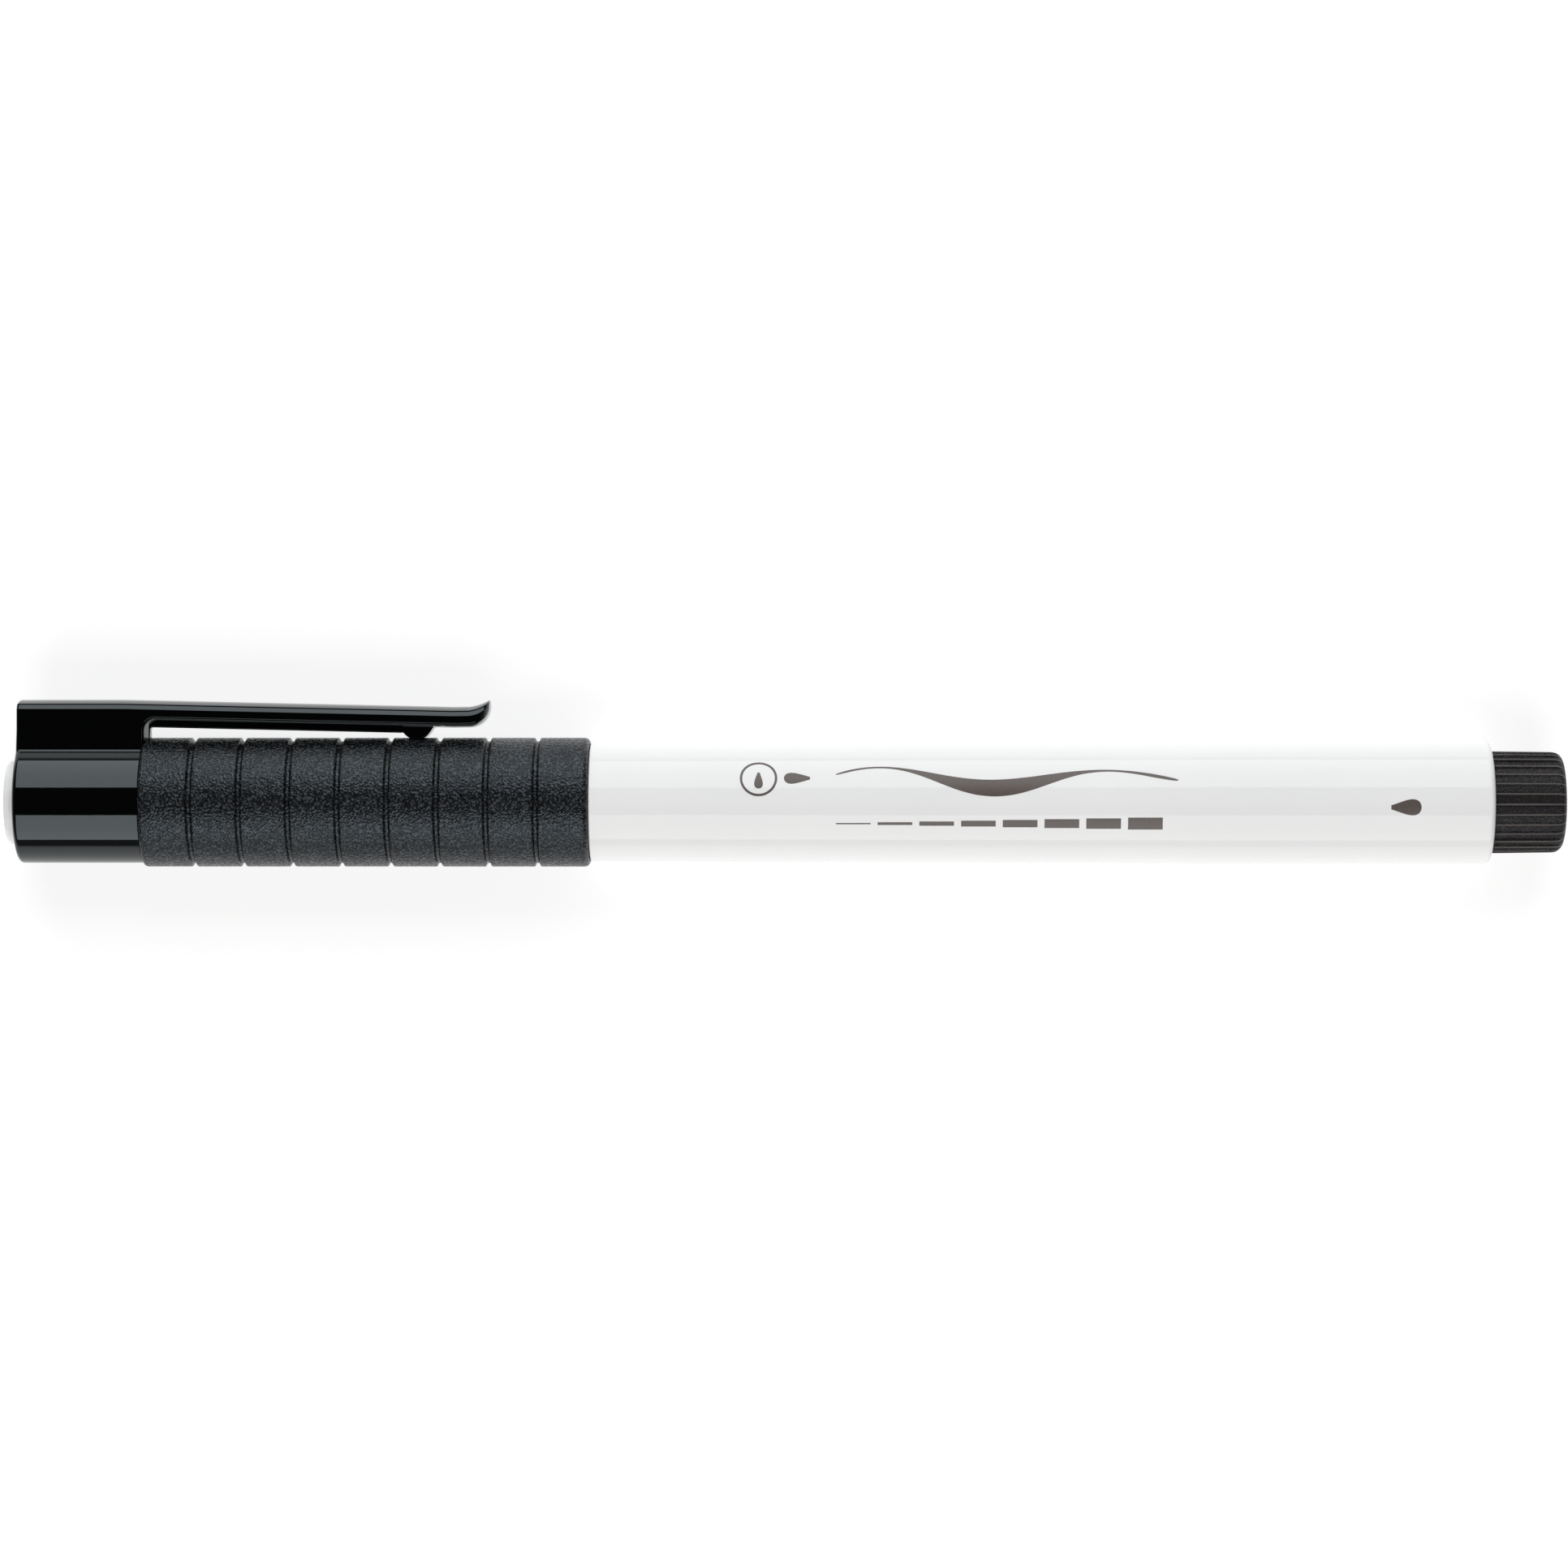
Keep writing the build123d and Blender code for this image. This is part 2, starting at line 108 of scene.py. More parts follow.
# Clip: heights are from the pen's axis, and drops are down from the clip's ridge
CLIP_TOP, BEND_X, BEND_HALF = 9.59, -43.5, 0.7
FLARE_X, FLARE_HEIGHT, FLARE_R = -12.05, 8.90, 5.0
HALF_WIDTH, LEDGE_HALF_WIDTH, TIER_HALF_WIDTH = 2.70, 2.45, 2.50
LEDGE_TOP_DROP, LEDGE_FOOT_DROP, BEVEL_DROP, SIDE_DROP = 0.41, 0.53, 0.90, 1.62
UNDER_EDGE_DROP, UNDER_DROP = 1.76, 1.96
LEDGE_ROUND, LEDGE_FOOT_ROUND, BEVEL_ROUND, SIDE_ROUND, TIER_ROUND = 0.04, 0.03, 0.08, 0.06, 0.06
CORNER_STEPS = 4
SIDE_SLOT, EDGE_SLOT, MIDDLE_SLOT, RIB_SLOT = (-41.67, 1.2), (-41.51, 1.1), (-41.25, 0.8), (-41.18, 0.25)
SLOT_FLOOR_R = 6.06
STIFFENER_HALF_WIDTH, STIFFENER_DROP = 0.7, 2.55
PIP_X, PIP_R, PIP_BOTTOM, PIP_HALF_WIDTH, PIP_RAMP_X = -16.2, 1.5, 5.84, 1.5, -14.62
PIP_START_X, PIP_RAMP_TURN, PIP_REST_R = -17.6, 33.0, 6.06
HEEL_X, HEEL_R, TIP_CORNER_R, TIP_ROUND = -11.30, 1.90, 1.5, 0.15
TIP_X = HEEL_X + HEEL_R
BLOCK_FILLET, BLOCK_END_ROUND, BLOCK_DRAFT = 0.30, 0.26, 11.0

# Print: distances round the barrel are from its uppermost line (+Z), towards the clip's side
INK_HEIGHT, INK_DEPTH, ACROSS_STEPS = 0.012, 0.01, 8
SYMBOL_X, SYMBOL_R, UPPER_LINE, LOWER_LINE = 15.75, 1.62, 2.3, -2.0
STROKE_X, STROKE_LENGTH, STROKE_RISE, STROKE_THIN_HALF, STROKE_SWELL = 22.9, 31.6, 1.2, 0.04, 0.76
DASH_COUNT, DASH_PITCH, DASH_LENGTH, DASH_THIN_HALF, DASH_GROWTH = 8, 3.85, 3.2, 0.06, 0.075

# Picture and floor
PICTURE_X, PICTURE_Y, PICTURE_WIDTH = 18.03, 1.70, 146.4
CAMERA_HEIGHT, CAMERA_SIDESTEP = 490.0, 7.0
# Radii of the floor's painted pool of light, where it starts and where it has faded to grey.
PAINTED_POOL_R, PAINTED_POOL_FADE_R = 100.0, 300.0

# Backdrop and lights, in metres
FLAT_R, SWEEP_R, BACKDROP_HEIGHT = 0.85, 0.35, 0.75
LIGHT_DISTANCE, LIGHT_LENGTH, LIGHT_RADIANCE = 0.6, 0.62, 2.85


def at(x, y=0.0, z=0.0):
    """Point in the row frame, from millimetres counted from the seam and from the pen's axis."""
    return Vector((SEAM_X + x * MM, y * MM, z * MM))


def blend_step(value, low, high):
    """Smooth 0 to 1 as value goes from low to high."""
    share = min(max((value - low) / (high - low), 0.0), 1.0)
    return share * share * (3 - 2 * share)


# Shapes

def rounded(points, rounds, steps=ROUND_STEPS):
    """Outline with its corners turned into arcs. rounds maps a point's index to its radius."""
    out = []
    for i, point in enumerate(points):
        if i not in rounds:
            out.append(point)
            continue
        here = Vector(point)
        a = (Vector(points[i - 1]) - here).normalized()
        b = (Vector(points[(i + 1) % len(points)]) - here).normalized()
        half = a.angle(b) / 2
        reach = rounds[i] / math.tan(half)
        centre = here + (a + b).normalized() * rounds[i] / math.sin(half)
        first, last = here + a * reach - centre, here + b * reach - centre
        turn = math.pi - 2 * half
        out.append(tuple(centre + first + a * SUPPORT))
        for step in range(steps + 1):
            share = step / steps
            ray = first * math.sin((1 - share) * turn) + last * math.sin(share * turn)
            out.append(tuple(centre + ray / math.sin(turn)))
        out.append(tuple(centre + last + b * SUPPORT))
    return out


def finished(name, bm, material, body, sharp=32.0):
    """Object from a bmesh, smooth but for its sharp edges. It rides on body, if there is one."""
    bmesh.ops.remove_doubles(bm, verts=bm.verts, dist=1e-7)
    bmesh.ops.dissolve_degenerate(bm, dist=1e-7, edges=bm.edges)
    bmesh.ops.recalc_face_normals(bm, faces=bm.faces)
    for face in bm.faces:
        face.smooth = True
    for edge in bm.edges:
        edge.smooth = edge.calc_face_angle(0.0) < math.radians(sharp)
    mesh = bpy.data.meshes.new(name)
    bm.to_mesh(mesh)
    bm.free()
    mesh.materials.append(material)
    piece = bpy.data.objects.new(name, mesh)
    bpy.context.scene.collection.objects.link(piece)
    if body:
        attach(piece, body)
    return piece


def strips(bm, rows, closed=False):
    """Quads between neighbouring rows of vertices. Closed rows join their last vertex to their first."""
    for a, b in zip(rows, rows[1:]):
        count = len(a)
        for i in range(count if closed else count - 1):
            j = (i + 1) % count
            corners = [a[i], a[j], b[j], b[i]]
            corners = [c for n, c in enumerate(corners) if c not in corners[:n]]
            if len(corners) > 2:
                bm.faces.new(corners)


def lathe(name, profile, material, body, steps=TURN_STEPS, bm=None):
    """Closed solid round the axis, from a closed outline of (x, radius) points.

    A radius may be a function of the angle. Radius 0 is a point on the axis.
    """
    bm = bm or bmesh.new()
    rings = []
    for x, r in profile:
        if r == 0:
            rings.append([bm.verts.new(at(x))] * steps)
            continue
        ring = []
        for i in range(steps):
            angle = 2 * math.pi * i / steps
            here = r(angle) if callable(r) else r
            ring.append(bm.verts.new(at(x, here * math.cos(angle), here * math.sin(angle))))
        rings.append(ring)
    strips(bm, rings + rings[:1], closed=True)
    return finished(name, bm, material, body)


# Materials

COOL, COLD = (0.84, 0.96, 1.0, 1), (0.76, 0.90, 1.0, 1)


class Finish:
    """Procedural material: a Principled shader driven by noise over the object's own coordinates."""

    def __init__(self, name, **values):
        self.material = bpy.data.materials.new(name)
        self.material.use_nodes = True
        self.nodes = self.material.node_tree.nodes
        self.links = self.material.node_tree.links
        self.shader = self.nodes["Principled BSDF"]
        self.place = self.nodes.new("ShaderNodeTexCoord").outputs["Object"]
        for socket, value in values.items():
            self.shader.inputs[socket.replace("_", " ")].default_value = value

    def node(self, kind, inputs=(), **settings):
        """New node. inputs maps a socket's name or number to a value or to another node's output."""
        made = self.nodes.new(kind)
        for key, value in settings.items():
            setattr(made, key, value)
        for key, value in dict(inputs).items():
            if isinstance(value, bpy.types.NodeSocket):
                self.links.new(value, made.inputs[key])
            else:
                made.inputs[key].default_value = value
        return made

    def grain(self, size, detail=3.0, stretch=(1, 1, 1), roughness=0.55):
        """Noise from 0 to 1 with features of about size millimetres, divided along each axis by stretch."""
        mapping = self.node("ShaderNodeMapping", {"Vector": self.place, "Scale": stretch})
        inputs = {"Vector": mapping.outputs[0], "Scale": 1 / (size * MM), "Detail": detail}
        inputs["Roughness"] = roughness
        return self.node("ShaderNodeTexNoise", inputs).outputs["Fac"]

    def cells(self, size):
        """Distance from the nearest of scattered points, about size millimetres apart."""
        inputs = {"Vector": self.place, "Scale": 1 / (size * MM)}
        return self.node("ShaderNodeTexVoronoi", inputs).outputs["Distance"]

    def between(self, value, low, high, from_low=0.3, from_high=0.7):
        """value carried from one range to another, and held within it."""
        inputs = {"Value": value, 1: from_low, 2: from_high, 3: low, 4: high}
        return self.node("ShaderNodeMapRange", inputs).outputs[0]

    def mix(self, share, a, b):
        inputs = {0: share, 6: a, 7: b}
        return self.node("ShaderNodeMix", inputs, data_type="RGBA").outputs[2]

    def maths(self, operation, a, b):
        return self.node("ShaderNodeMath", {0: a, 1: b}, operation=operation).outputs[0]

    def bump(self, heights):
        """Bump from (noise, height in millimetres) pairs, coarse to fine."""
        normal = None
        for height, depth in heights:
            inputs = {"Height": height, "Distance": depth * MM, "Strength": 1.0}
            if normal:
                inputs["Normal"] = normal
            normal = self.node("ShaderNodeBump", inputs).outputs[0]
        self.links.new(normal, self.shader.inputs["Normal"])

    def set(self, socket, value):
        self.links.new(value, self.shader.inputs[socket])


def white_gloss(name, base, shade, roughness):
    """Polished white moulding: faint mottling, a slight orange peel, and handling marks along the pen."""
    finish = Finish(name, IOR=1.49, Specular_IOR_Level=0.3)
    mottle = finish.grain(9.0, 2.0)
    finish.set("Base Color", finish.mix(finish.between(mottle, 0, 1), base, shade))
    marks = finish.grain(0.5, 4.0, (0.12, 1, 1))
    finish.set("Roughness", finish.between(marks, roughness * 0.75, roughness * 1.35))
    finish.bump([(finish.grain(3.0, 2.0), 0.004), (finish.grain(0.25, 2.0), 0.0004)])
    return finish.material


def black_gloss():
    """Polished black moulding: near-mirror, with faint handling marks and a little dust."""
    finish = Finish("black_gloss", IOR=1.50, Specular_Tint=COOL, Specular_IOR_Level=0.44)
    dust = finish.between(finish.cells(1.1), 1, 0, 0.03, 0.05)
    spread = finish.between(finish.grain(2.5, 2.0), 0, 1, 0.55, 0.7)
    speck = finish.maths("MULTIPLY", dust, spread)
    finish.set("Base Color", finish.mix(speck, (0.0008, 0.0008, 0.0009, 1), (0.09, 0.09, 0.09, 1)))
    marks = finish.between(finish.grain(0.6, 5.0, (0.15, 1, 1)), 0.045, 0.085)
    finish.set("Roughness", finish.maths("ADD", marks, finish.maths("MULTIPLY", speck, 0.4)))
    finish.bump([(finish.grain(2.2, 2.0), 0.0025), (finish.grain(0.3, 2.0), 0.0003)])
    return finish.material


def black_texture():
    """Spark-eroded black moulding: a matt grain of small pits and peaks, with painted glints: a lighter base
    colour on the peaks stands in for the light they catch.
    """
    finish = Finish("black_texture", IOR=1.47, Specular_Tint=COLD, Specular_IOR_Level=0.34)
    coarse = finish.grain(0.45, 1.0)
    fine = finish.grain(0.19, 0.0)
    painted_glints = finish.between(fine, 0, 1, 0.52, 0.64)
    # Painted glints: a lighter base colour on the grain's peaks stands in for their specular glints.
    finish.set("Base Color", finish.mix(painted_glints, (0.0006, 0.0007, 0.0009, 1), (0.038, 0.040, 0.044, 1)))
    finish.set("Roughness", finish.between(fine, 0.42, 0.17))
    finish.bump([(coarse, 0.05), (fine, 0.07)])
    return finish.material


def black_satin(name, roughness, base, grain):
    """Satin black moulding with a fine even grain, grain millimetres high."""
    finish = Finish(name, IOR=1.48)
    shade = finish.between(finish.grain(1.5, 3.0), 0, 1)
    finish.set("Base Color", finish.mix(shade, base, tuple(1.5 * c for c in base[:3]) + (1,)))
    fine = finish.grain(0.17, 3.0)
    finish.set("Roughness", finish.between(fine, roughness * 1.2, roughness * 0.8))
    finish.bump([(fine, grain)])
    return finish.material


def fluted_satin(name):
    """Matt black moulding with a fine grain, and a painted highlight: a lighter colour along the tops of the
    plug's flutes stands in for the light they catch.
    """
    finish = Finish(name, IOR=1.46, Specular_IOR_Level=0.3)
    axes = finish.node("ShaderNodeSeparateXYZ", {"Vector": finish.place})
    turn = finish.maths("ARCTAN2", axes.outputs["Z"], axes.outputs["Y"])
    flutes = finish.maths("ADD", turn, 2 * math.pi - math.radians(FLUTE_PHASE))
    flutes = finish.maths("MULTIPLY", flutes, FLUTE_COUNT / (2 * math.pi))
    away = finish.maths("ABSOLUTE", finish.maths("SUBTRACT", finish.maths("FRACT", flutes, 0), 0.5), 0)
    # Painted highlight: this mask gives the flute tops a lighter colour that stands in for the light caught
    # along their edges.
    top = finish.between(away, 0, 1, 0.42, 0.46)
    fine = finish.grain(0.18, 1.0)
    pits = finish.between(fine, 0, 1, 0.45, 0.65)
    flat = finish.mix(pits, (0.0022, 0.0018, 0.0022, 1), (0.018, 0.015, 0.017, 1))
    finish.set("Base Color", finish.mix(top, flat, (0.095, 0.084, 0.076, 1)))
    finish.set("Roughness", finish.between(fine, 0.62, 0.40))
    finish.bump([(fine, 0.06)])
    return finish.material


def fibre(name, base, shade, strand, depth):
    """Bundled fibres that run along the pen."""
    finish = Finish(name, Roughness=0.8, Sheen_Weight=0.3, Sheen_Roughness=0.5)
    strands = finish.grain(strand, 3.0, (0.03, 1, 1))
    finish.set("Base Color", finish.mix(finish.between(strands, 0, 1), shade, base))
    finish.bump([(strands, depth)])
    return finish.material


def film():
    """Thin clear film with faint wrinkles."""
    finish = Finish("film", IOR=1.45, Transmission_Weight=0.85)
    shade = finish.between(finish.grain(4.0), 0, 1)
    finish.set("Base Color", finish.mix(shade, (0.9, 0.92, 0.93, 1), (1, 1, 1, 1)))
    finish.set("Roughness", finish.between(finish.grain(1.0), 0.10, 0.22))
    finish.bump([(finish.grain(2.5, 2.0, (0.3, 1, 1)), 0.02)])
    return finish.material


def soft_natural():
    """Unpigmented soft plastic, slightly translucent."""
    finish = Finish("soft_natural", IOR=1.5, Subsurface_Weight=0.25, Subsurface_Scale=0.001)
    shade = finish.between(finish.grain(3.0), 0, 1)
    finish.set("Base Color", finish.mix(shade, (0.80, 0.80, 0.77, 1), (0.74, 0.74, 0.71, 1)))
    finish.set("Roughness", finish.between(finish.grain(0.4), 0.35, 0.5))
    finish.bump([(finish.grain(0.3, 2.0), 0.004)])
    return finish.material


def ink():
    """Pad-printed ink, with fine uneven cover."""
    finish = Finish("print_ink", IOR=1.45)
    cover = finish.between(finish.grain(0.18, 3.0), 0, 1)
    finish.set("Base Color", finish.mix(cover, (0.088, 0.070, 0.063, 1), (0.112, 0.090, 0.082, 1)))
    finish.set("Roughness", finish.between(cover, 0.30, 0.42, 0, 1))
    finish.bump([(finish.grain(0.1, 2.0), 0.002)])
    return finish.material


def pale_floor():
    """Pale sweep that glows: its emission is painted light that lifts the shadows round the pen, and a
    painted pool of light fades it to grey away from the pen.
    """
    finish = Finish("pale_floor", IOR=1.3, Emission_Strength=1.0)
    centre = tuple(-c for c in at(PICTURE_X))
    away = finish.node("ShaderNodeVectorMath", {0: finish.place, 1: centre}, operation="ADD").outputs[0]
    reach = finish.node("ShaderNodeVectorMath", {0: away}, operation="LENGTH").outputs["Value"]
    # Painted pool of light: the floor's colour and glow fade to grey with distance from the pen.
    share = finish.between(reach, 0, 1, PAINTED_POOL_R * MM, PAINTED_POOL_FADE_R * MM)
    pale = finish.mix(finish.grain(60.0), (0.40, 0.40, 0.40, 1), (0.43, 0.43, 0.43, 1))
    finish.set("Base Color", finish.mix(share, pale, (0.25, 0.25, 0.25, 1)))
    # Painted light: the floor's emission glows and fills in the shadows round the pen.
    finish.set("Emission Color", finish.mix(share, (0.72, 0.72, 0.72, 1), (0.10, 0.10, 0.10, 1)))
    finish.set("Roughness", finish.between(finish.grain(5.0), 0.75, 0.9))
    return finish.material


WHITE = white_gloss("white_gloss", (0.868, 0.868, 0.871, 1), (0.88, 0.88, 0.88, 1), 0.045)
WHITE_DISC = white_gloss("white_disc", (0.92, 0.92, 0.92, 1), (0.94, 0.94, 0.94, 1), 0.22)
GLOSS = black_gloss()
TEXTURE = black_texture()
PLUG_SATIN = fluted_satin("plug_satin")
SECTION_SATIN = black_satin("section_satin", 0.38, (0.0060, 0.0060, 0.0065, 1), 0.008)
NIB_FIBRE = fibre("nib_fibre", (0.80, 0.78, 0.72, 1), (0.60, 0.57, 0.50, 1), 0.12, 0.02)
NATURAL = soft_natural()
INK = ink()


# Barrel, front section and nib

def barrel_radius(x):
    """Outer radius of the barrel at x."""
    return BARREL_FRONT_R + (BARREL_REAR_R - BARREL_FRONT_R) * min(x / LAND_START, 1.0)


def ribbed_bore(angle):
    """Radius of the barrel's bore, with ribs inside that centre the reservoir."""
    pitch = 2 * math.pi / BORE_RIB_COUNT
    away = abs((angle + pitch / 2) % pitch - pitch / 2)
    return BORE_RIB_R if away * BARREL_BORE_R < BORE_RIB_HALF else BARREL_BORE_R


def barrel():
    outer = rounded(
        [
            (NECK_FRONT, NECK_BORE_R),
            (NECK_FRONT, NECK_R),
            (BEAD_X - BEAD_HALF, NECK_R),
            (BEAD_X, BEAD_R),
            (BEAD_X + BEAD_HALF, NECK_R),
            (0, NECK_R),
            (0, BARREL_FRONT_R),
            (LAND_START, BARREL_REAR_R),
            (BARREL_END - REAR_ROUND_LENGTH - SUPPORT, BARREL_REAR_R),
        ],
        {1: 0.2, 2: 0.3, 3: 0.25, 4: 0.3, 5: 0.08, 6: SHOULDER_ROUND},
    )
    steps = 10
    for step in range(steps + 1):
        turn = math.pi / 2 * step / steps
        x = BARREL_END - REAR_ROUND_LENGTH * (1 - math.sin(turn))
        outer.append((x, BARREL_REAR_R - REAR_ROUND_DEPTH * (1 - math.cos(turn))))
    outer += [(BARREL_END, BARREL_REAR_R - REAR_ROUND_DEPTH - SUPPORT), (BARREL_END, BARREL_BORE_R)]
    inner = [
        (BORE_RIB_END, BARREL_BORE_R),
        (BORE_RIB_END, ribbed_bore),
        (BORE_RIB_START, ribbed_bore),
        (BORE_RIB_START, BARREL_BORE_R),
        (NECK_BORE_END, BARREL_BORE_R),
        (NECK_BORE_END, NECK_BORE_R),
    ]
    piece = lathe("barrel", outer + inner, WHITE, "barrel")
    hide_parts("barrel_shell")


def grip_section():
    profile = rounded(
        [
            (SECTION_SPIGOT_END, SECTION_BORE_R),
            (SECTION_SPIGOT_END, SECTION_SPIGOT_R),
            (GRIP_FRONT, SECTION_SPIGOT_R),
            (GRIP_FRONT, GRIP_R),
            (WAIST_X, WAIST_R),
            (SEAL_START, SEAL_R),
            (SEAL_END, SEAL_R),
            (SEAL_END - NOSE_STEP, SEAL_R - NOSE_STEP),
            (NOSE_X, NOSE_R),
            (NOSE_X, NIB_BORE_R),
            (NIB_BORE_END, NIB_BORE_R),
            (RESERVOIR_START, SECTION_BORE_R),
        ],
        {3: 0.15, 4: 0.3, 5: 0.1, 6: 0.15, 7: 0.12, 8: 0.35, 9: 0.12},
    )
    piece = lathe("grip_section", profile, SECTION_SATIN, "barrel")
    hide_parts("front_section")


def brush():
    """Nib with a brush-shaped point of bundled strands at each end."""
    def strands(r, share):
        depth = STRAND_DEPTH * (1 - share)
        return lambda angle: r * (1 - depth * (0.5 - 0.5 * math.cos(STRAND_COUNT * angle)))

    front, rear = [], []
    steps = 20
    for step in range(steps + 1):
        share = step / steps
        swell = math.sin(share * math.pi / 2) ** BRUSH_FULLNESS
        r = NIB_POINT_R + (NIB_R - NIB_POINT_R) * swell
        front.append((NIB_TIP + share * BRUSH_LENGTH, strands(r, share)))
        rear.append((NIB_TAIL - share * BRUSH_LENGTH, strands(r, share)))
    profile = [(NIB_TIP, 0), *front, *reversed(rear), (NIB_TAIL, 0)]
    piece = lathe("nib", profile, NIB_FIBRE, "barrel", steps=STRAND_COUNT * 6)
    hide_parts("brush_nib")


# Rear plug

def fluted(limit):
    """Radius at an angle round the plug: flutes between root and tip, and nowhere above limit."""
    root, tip = FLUTE_ROOT_HALF / FLUTE_ROOT_R, FLUTE_TIP_HALF / FLUTE_TIP_R
    pitch = 2 * math.pi / FLUTE_COUNT

    def radius(angle):
        away = abs((angle - math.radians(FLUTE_PHASE) + pitch / 2) % pitch - pitch / 2)
        rise = min(max((root - away) / (root - tip), 0.0), 1.0)
        return min(FLUTE_ROOT_R + (FLUTE_TIP_R - FLUTE_ROOT_R) * rise, limit)

    return radius


def rear_plug():
    spigot = [
        (PLUG_SPIGOT_START, PLUG_WELL_R),
        (PLUG_SPIGOT_START, PLUG_SPIGOT_R - 0.2),
        (PLUG_SPIGOT_START + PLUG_LEAD_IN, PLUG_SPIGOT_R),
        (PLUG_START, PLUG_SPIGOT_R),
    ]
    slope = (FLUTE_TIP_REAR_R - FLUTE_TIP_R) / (PLUG_END - PLUG_START)
    head = [
        (PLUG_START, fluted(FLUTE_TIP_R - PLUG_EDGE_CHAMFER)),
        (PLUG_START + PLUG_EDGE_CHAMFER, fluted(FLUTE_TIP_R)),
    ]
    round_start = PLUG_END - PLUG_ROUND
    head.append((round_start - 0.1, fluted(FLUTE_TIP_R + slope * (round_start - PLUG_START))))
    steps = 12
    for step in range(steps + 1):
        angle = math.pi / 2 * step / steps
        r = FLUTE_TIP_REAR_R - PLUG_ROUND * (1 - math.cos(angle))
        head.append((round_start + PLUG_ROUND * math.sin(angle), fluted(r)))
    face_r = FLUTE_TIP_REAR_R - PLUG_ROUND
    dish = rounded(
        [
            (PLUG_END, face_r - SUPPORT),
            (PLUG_END, DISH_R),
            (PLUG_END - DISH_DEPTH, DISH_FLOOR_R),
            (PLUG_END - DISH_DEPTH, GATE_R + 0.08),
        ],
        {1: 0.15, 2: 0.15},
    )
    gate = [(PLUG_END - GATE_DEPTH, GATE_R), (PLUG_END - GATE_DEPTH, 0)]
    well = [(PLUG_WELL_END, 0), (PLUG_WELL_END, PLUG_WELL_R)]
    profile = spigot + head + dish + gate + well
    bm = bmesh.new()
    reservoir_stop(bm)
    piece = lathe("rear_plug", profile, PLUG_SATIN, "barrel", FLUTE_COUNT * FLUTE_POINTS, bm)
    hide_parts("end_plug")


def reservoir_stop(bm):
    """Cross on a square stem inside the plug, which stops the reservoir."""
    def prism(outline, start, end):
        rows = [[bm.verts.new(at(x, y, z)) for y, z in outline] for x in (start, end)]
        strips(bm, rows, closed=True)
        bm.faces.new(rows[0])
        bm.faces.new(rows[1])

    cross = []
    for turn in range(4):
        c, s = [(1, 0), (0, 1), (-1, 0), (0, -1)][turn]
        for along, across in [(STOP_REACH, -STOP_HALF), (STOP_REACH, STOP_HALF), (STOP_HALF, STOP_HALF)]:
            cross.append((along * c - across * s, along * s + across * c))
    prism(cross, STOP_START, STOP_END)
    square = [(STOP_STEM * a, STOP_STEM * b) for a, b in [(1, -1), (1, 1), (-1, 1), (-1, -1)]]
    prism(square, STOP_END - 0.2, PLUG_WELL_END + 0.2)


# Cap

def sleeve():
    points = [(SLEEVE_START, SLEEVE_BORE_R), (SLEEVE_START, SLEEVE_R)]
    rounds = {1: SLEEVE_START_ROUND}
    for step in range(GROOVE_COUNT):
        x = GROOVE_FIRST + step * GROOVE_PITCH
        floor_r = SLEEVE_R - GROOVE_DEPTH
        rounds[len(points)] = rounds[len(points) + 3] = GROOVE_ROUND
        rounds[len(points) + 1] = rounds[len(points) + 2] = 0.06
        points.append((x - GROOVE_TOP_HALF, SLEEVE_R))
        points.append((x - GROOVE_FLOOR_HALF, floor_r))
        points.append((x + GROOVE_FLOOR_HALF, floor_r))
        points.append((x + GROOVE_TOP_HALF, SLEEVE_R))
    mouth = -SLEEVE_GAP
    rounds[len(points)] = SLEEVE_MOUTH_ROUND
    rounds[len(points) + 1] = 0.05
    points += [
        (mouth, SLEEVE_R),
        (mouth, SLEEVE_BORE_R + MOUTH_FLARE),
        (mouth - MOUTH_FLARE, SLEEVE_BORE_R),
        (BEAD_X + BEAD_GROOVE_HALF, SLEEVE_BORE_R),
        (BEAD_X, BEAD_GROOVE_R),
        (BEAD_X - BEAD_GROOVE_HALF, SLEEVE_BORE_R),
    ]
    piece = lathe("sleeve", rounded(points, rounds, 4), TEXTURE, "cap")
    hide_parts("cap_sleeve")


def sealing_cup():
    profile = rounded(
        [
            (INNER_CAP_END, 0),
            (INNER_CAP_END, INNER_CAP_R),
            (INNER_CAP_MOUTH, INNER_CAP_R),
            (INNER_CAP_MOUTH, SEAL_LIP_R + 0.2),
            (INNER_CAP_MOUTH - 0.2, SEAL_LIP_R),
            (INNER_CAP_MOUTH - SEAL_LIP_LENGTH, SEAL_LIP_R),
            (INNER_CAP_MOUTH - SEAL_LIP_LENGTH - 0.2, INNER_CAP_BORE_R),
            (INNER_CAP_FLOOR, INNER_CAP_BORE_R),
            (INNER_CAP_FLOOR, INNER_CAP_WELL_R),
            (INNER_CAP_WELL_END, INNER_CAP_WELL_R),
            (INNER_CAP_WELL_END, 0),
        ],
        {1: 0.2, 2: 0.1, 4: 0.1, 7: 0.3, 9: 0.3},
    )
    piece = lathe("sealing_cup", profile, NATURAL, "cap")
    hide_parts("inner_cap")


def end_disc():
    """White plug in the crown's end: a slightly domed disc on a stem."""
    seat = CROWN_END - 0.01
    profile = rounded(
        [
            (DISC_END, 0),
            (DISC_END, DISC_R),
            (seat, DISC_R),
            (seat, DISC_STEM_R),
            (DISC_STEM_END, DISC_STEM_R),
            (DISC_STEM_END, 0),
        ],
        {1: DISC_ROUND, 2: 0.06, 4: 0.2},
    )
    piece = lathe("end_disc", profile, WHITE_DISC, "cap")
    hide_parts("colour_plug")


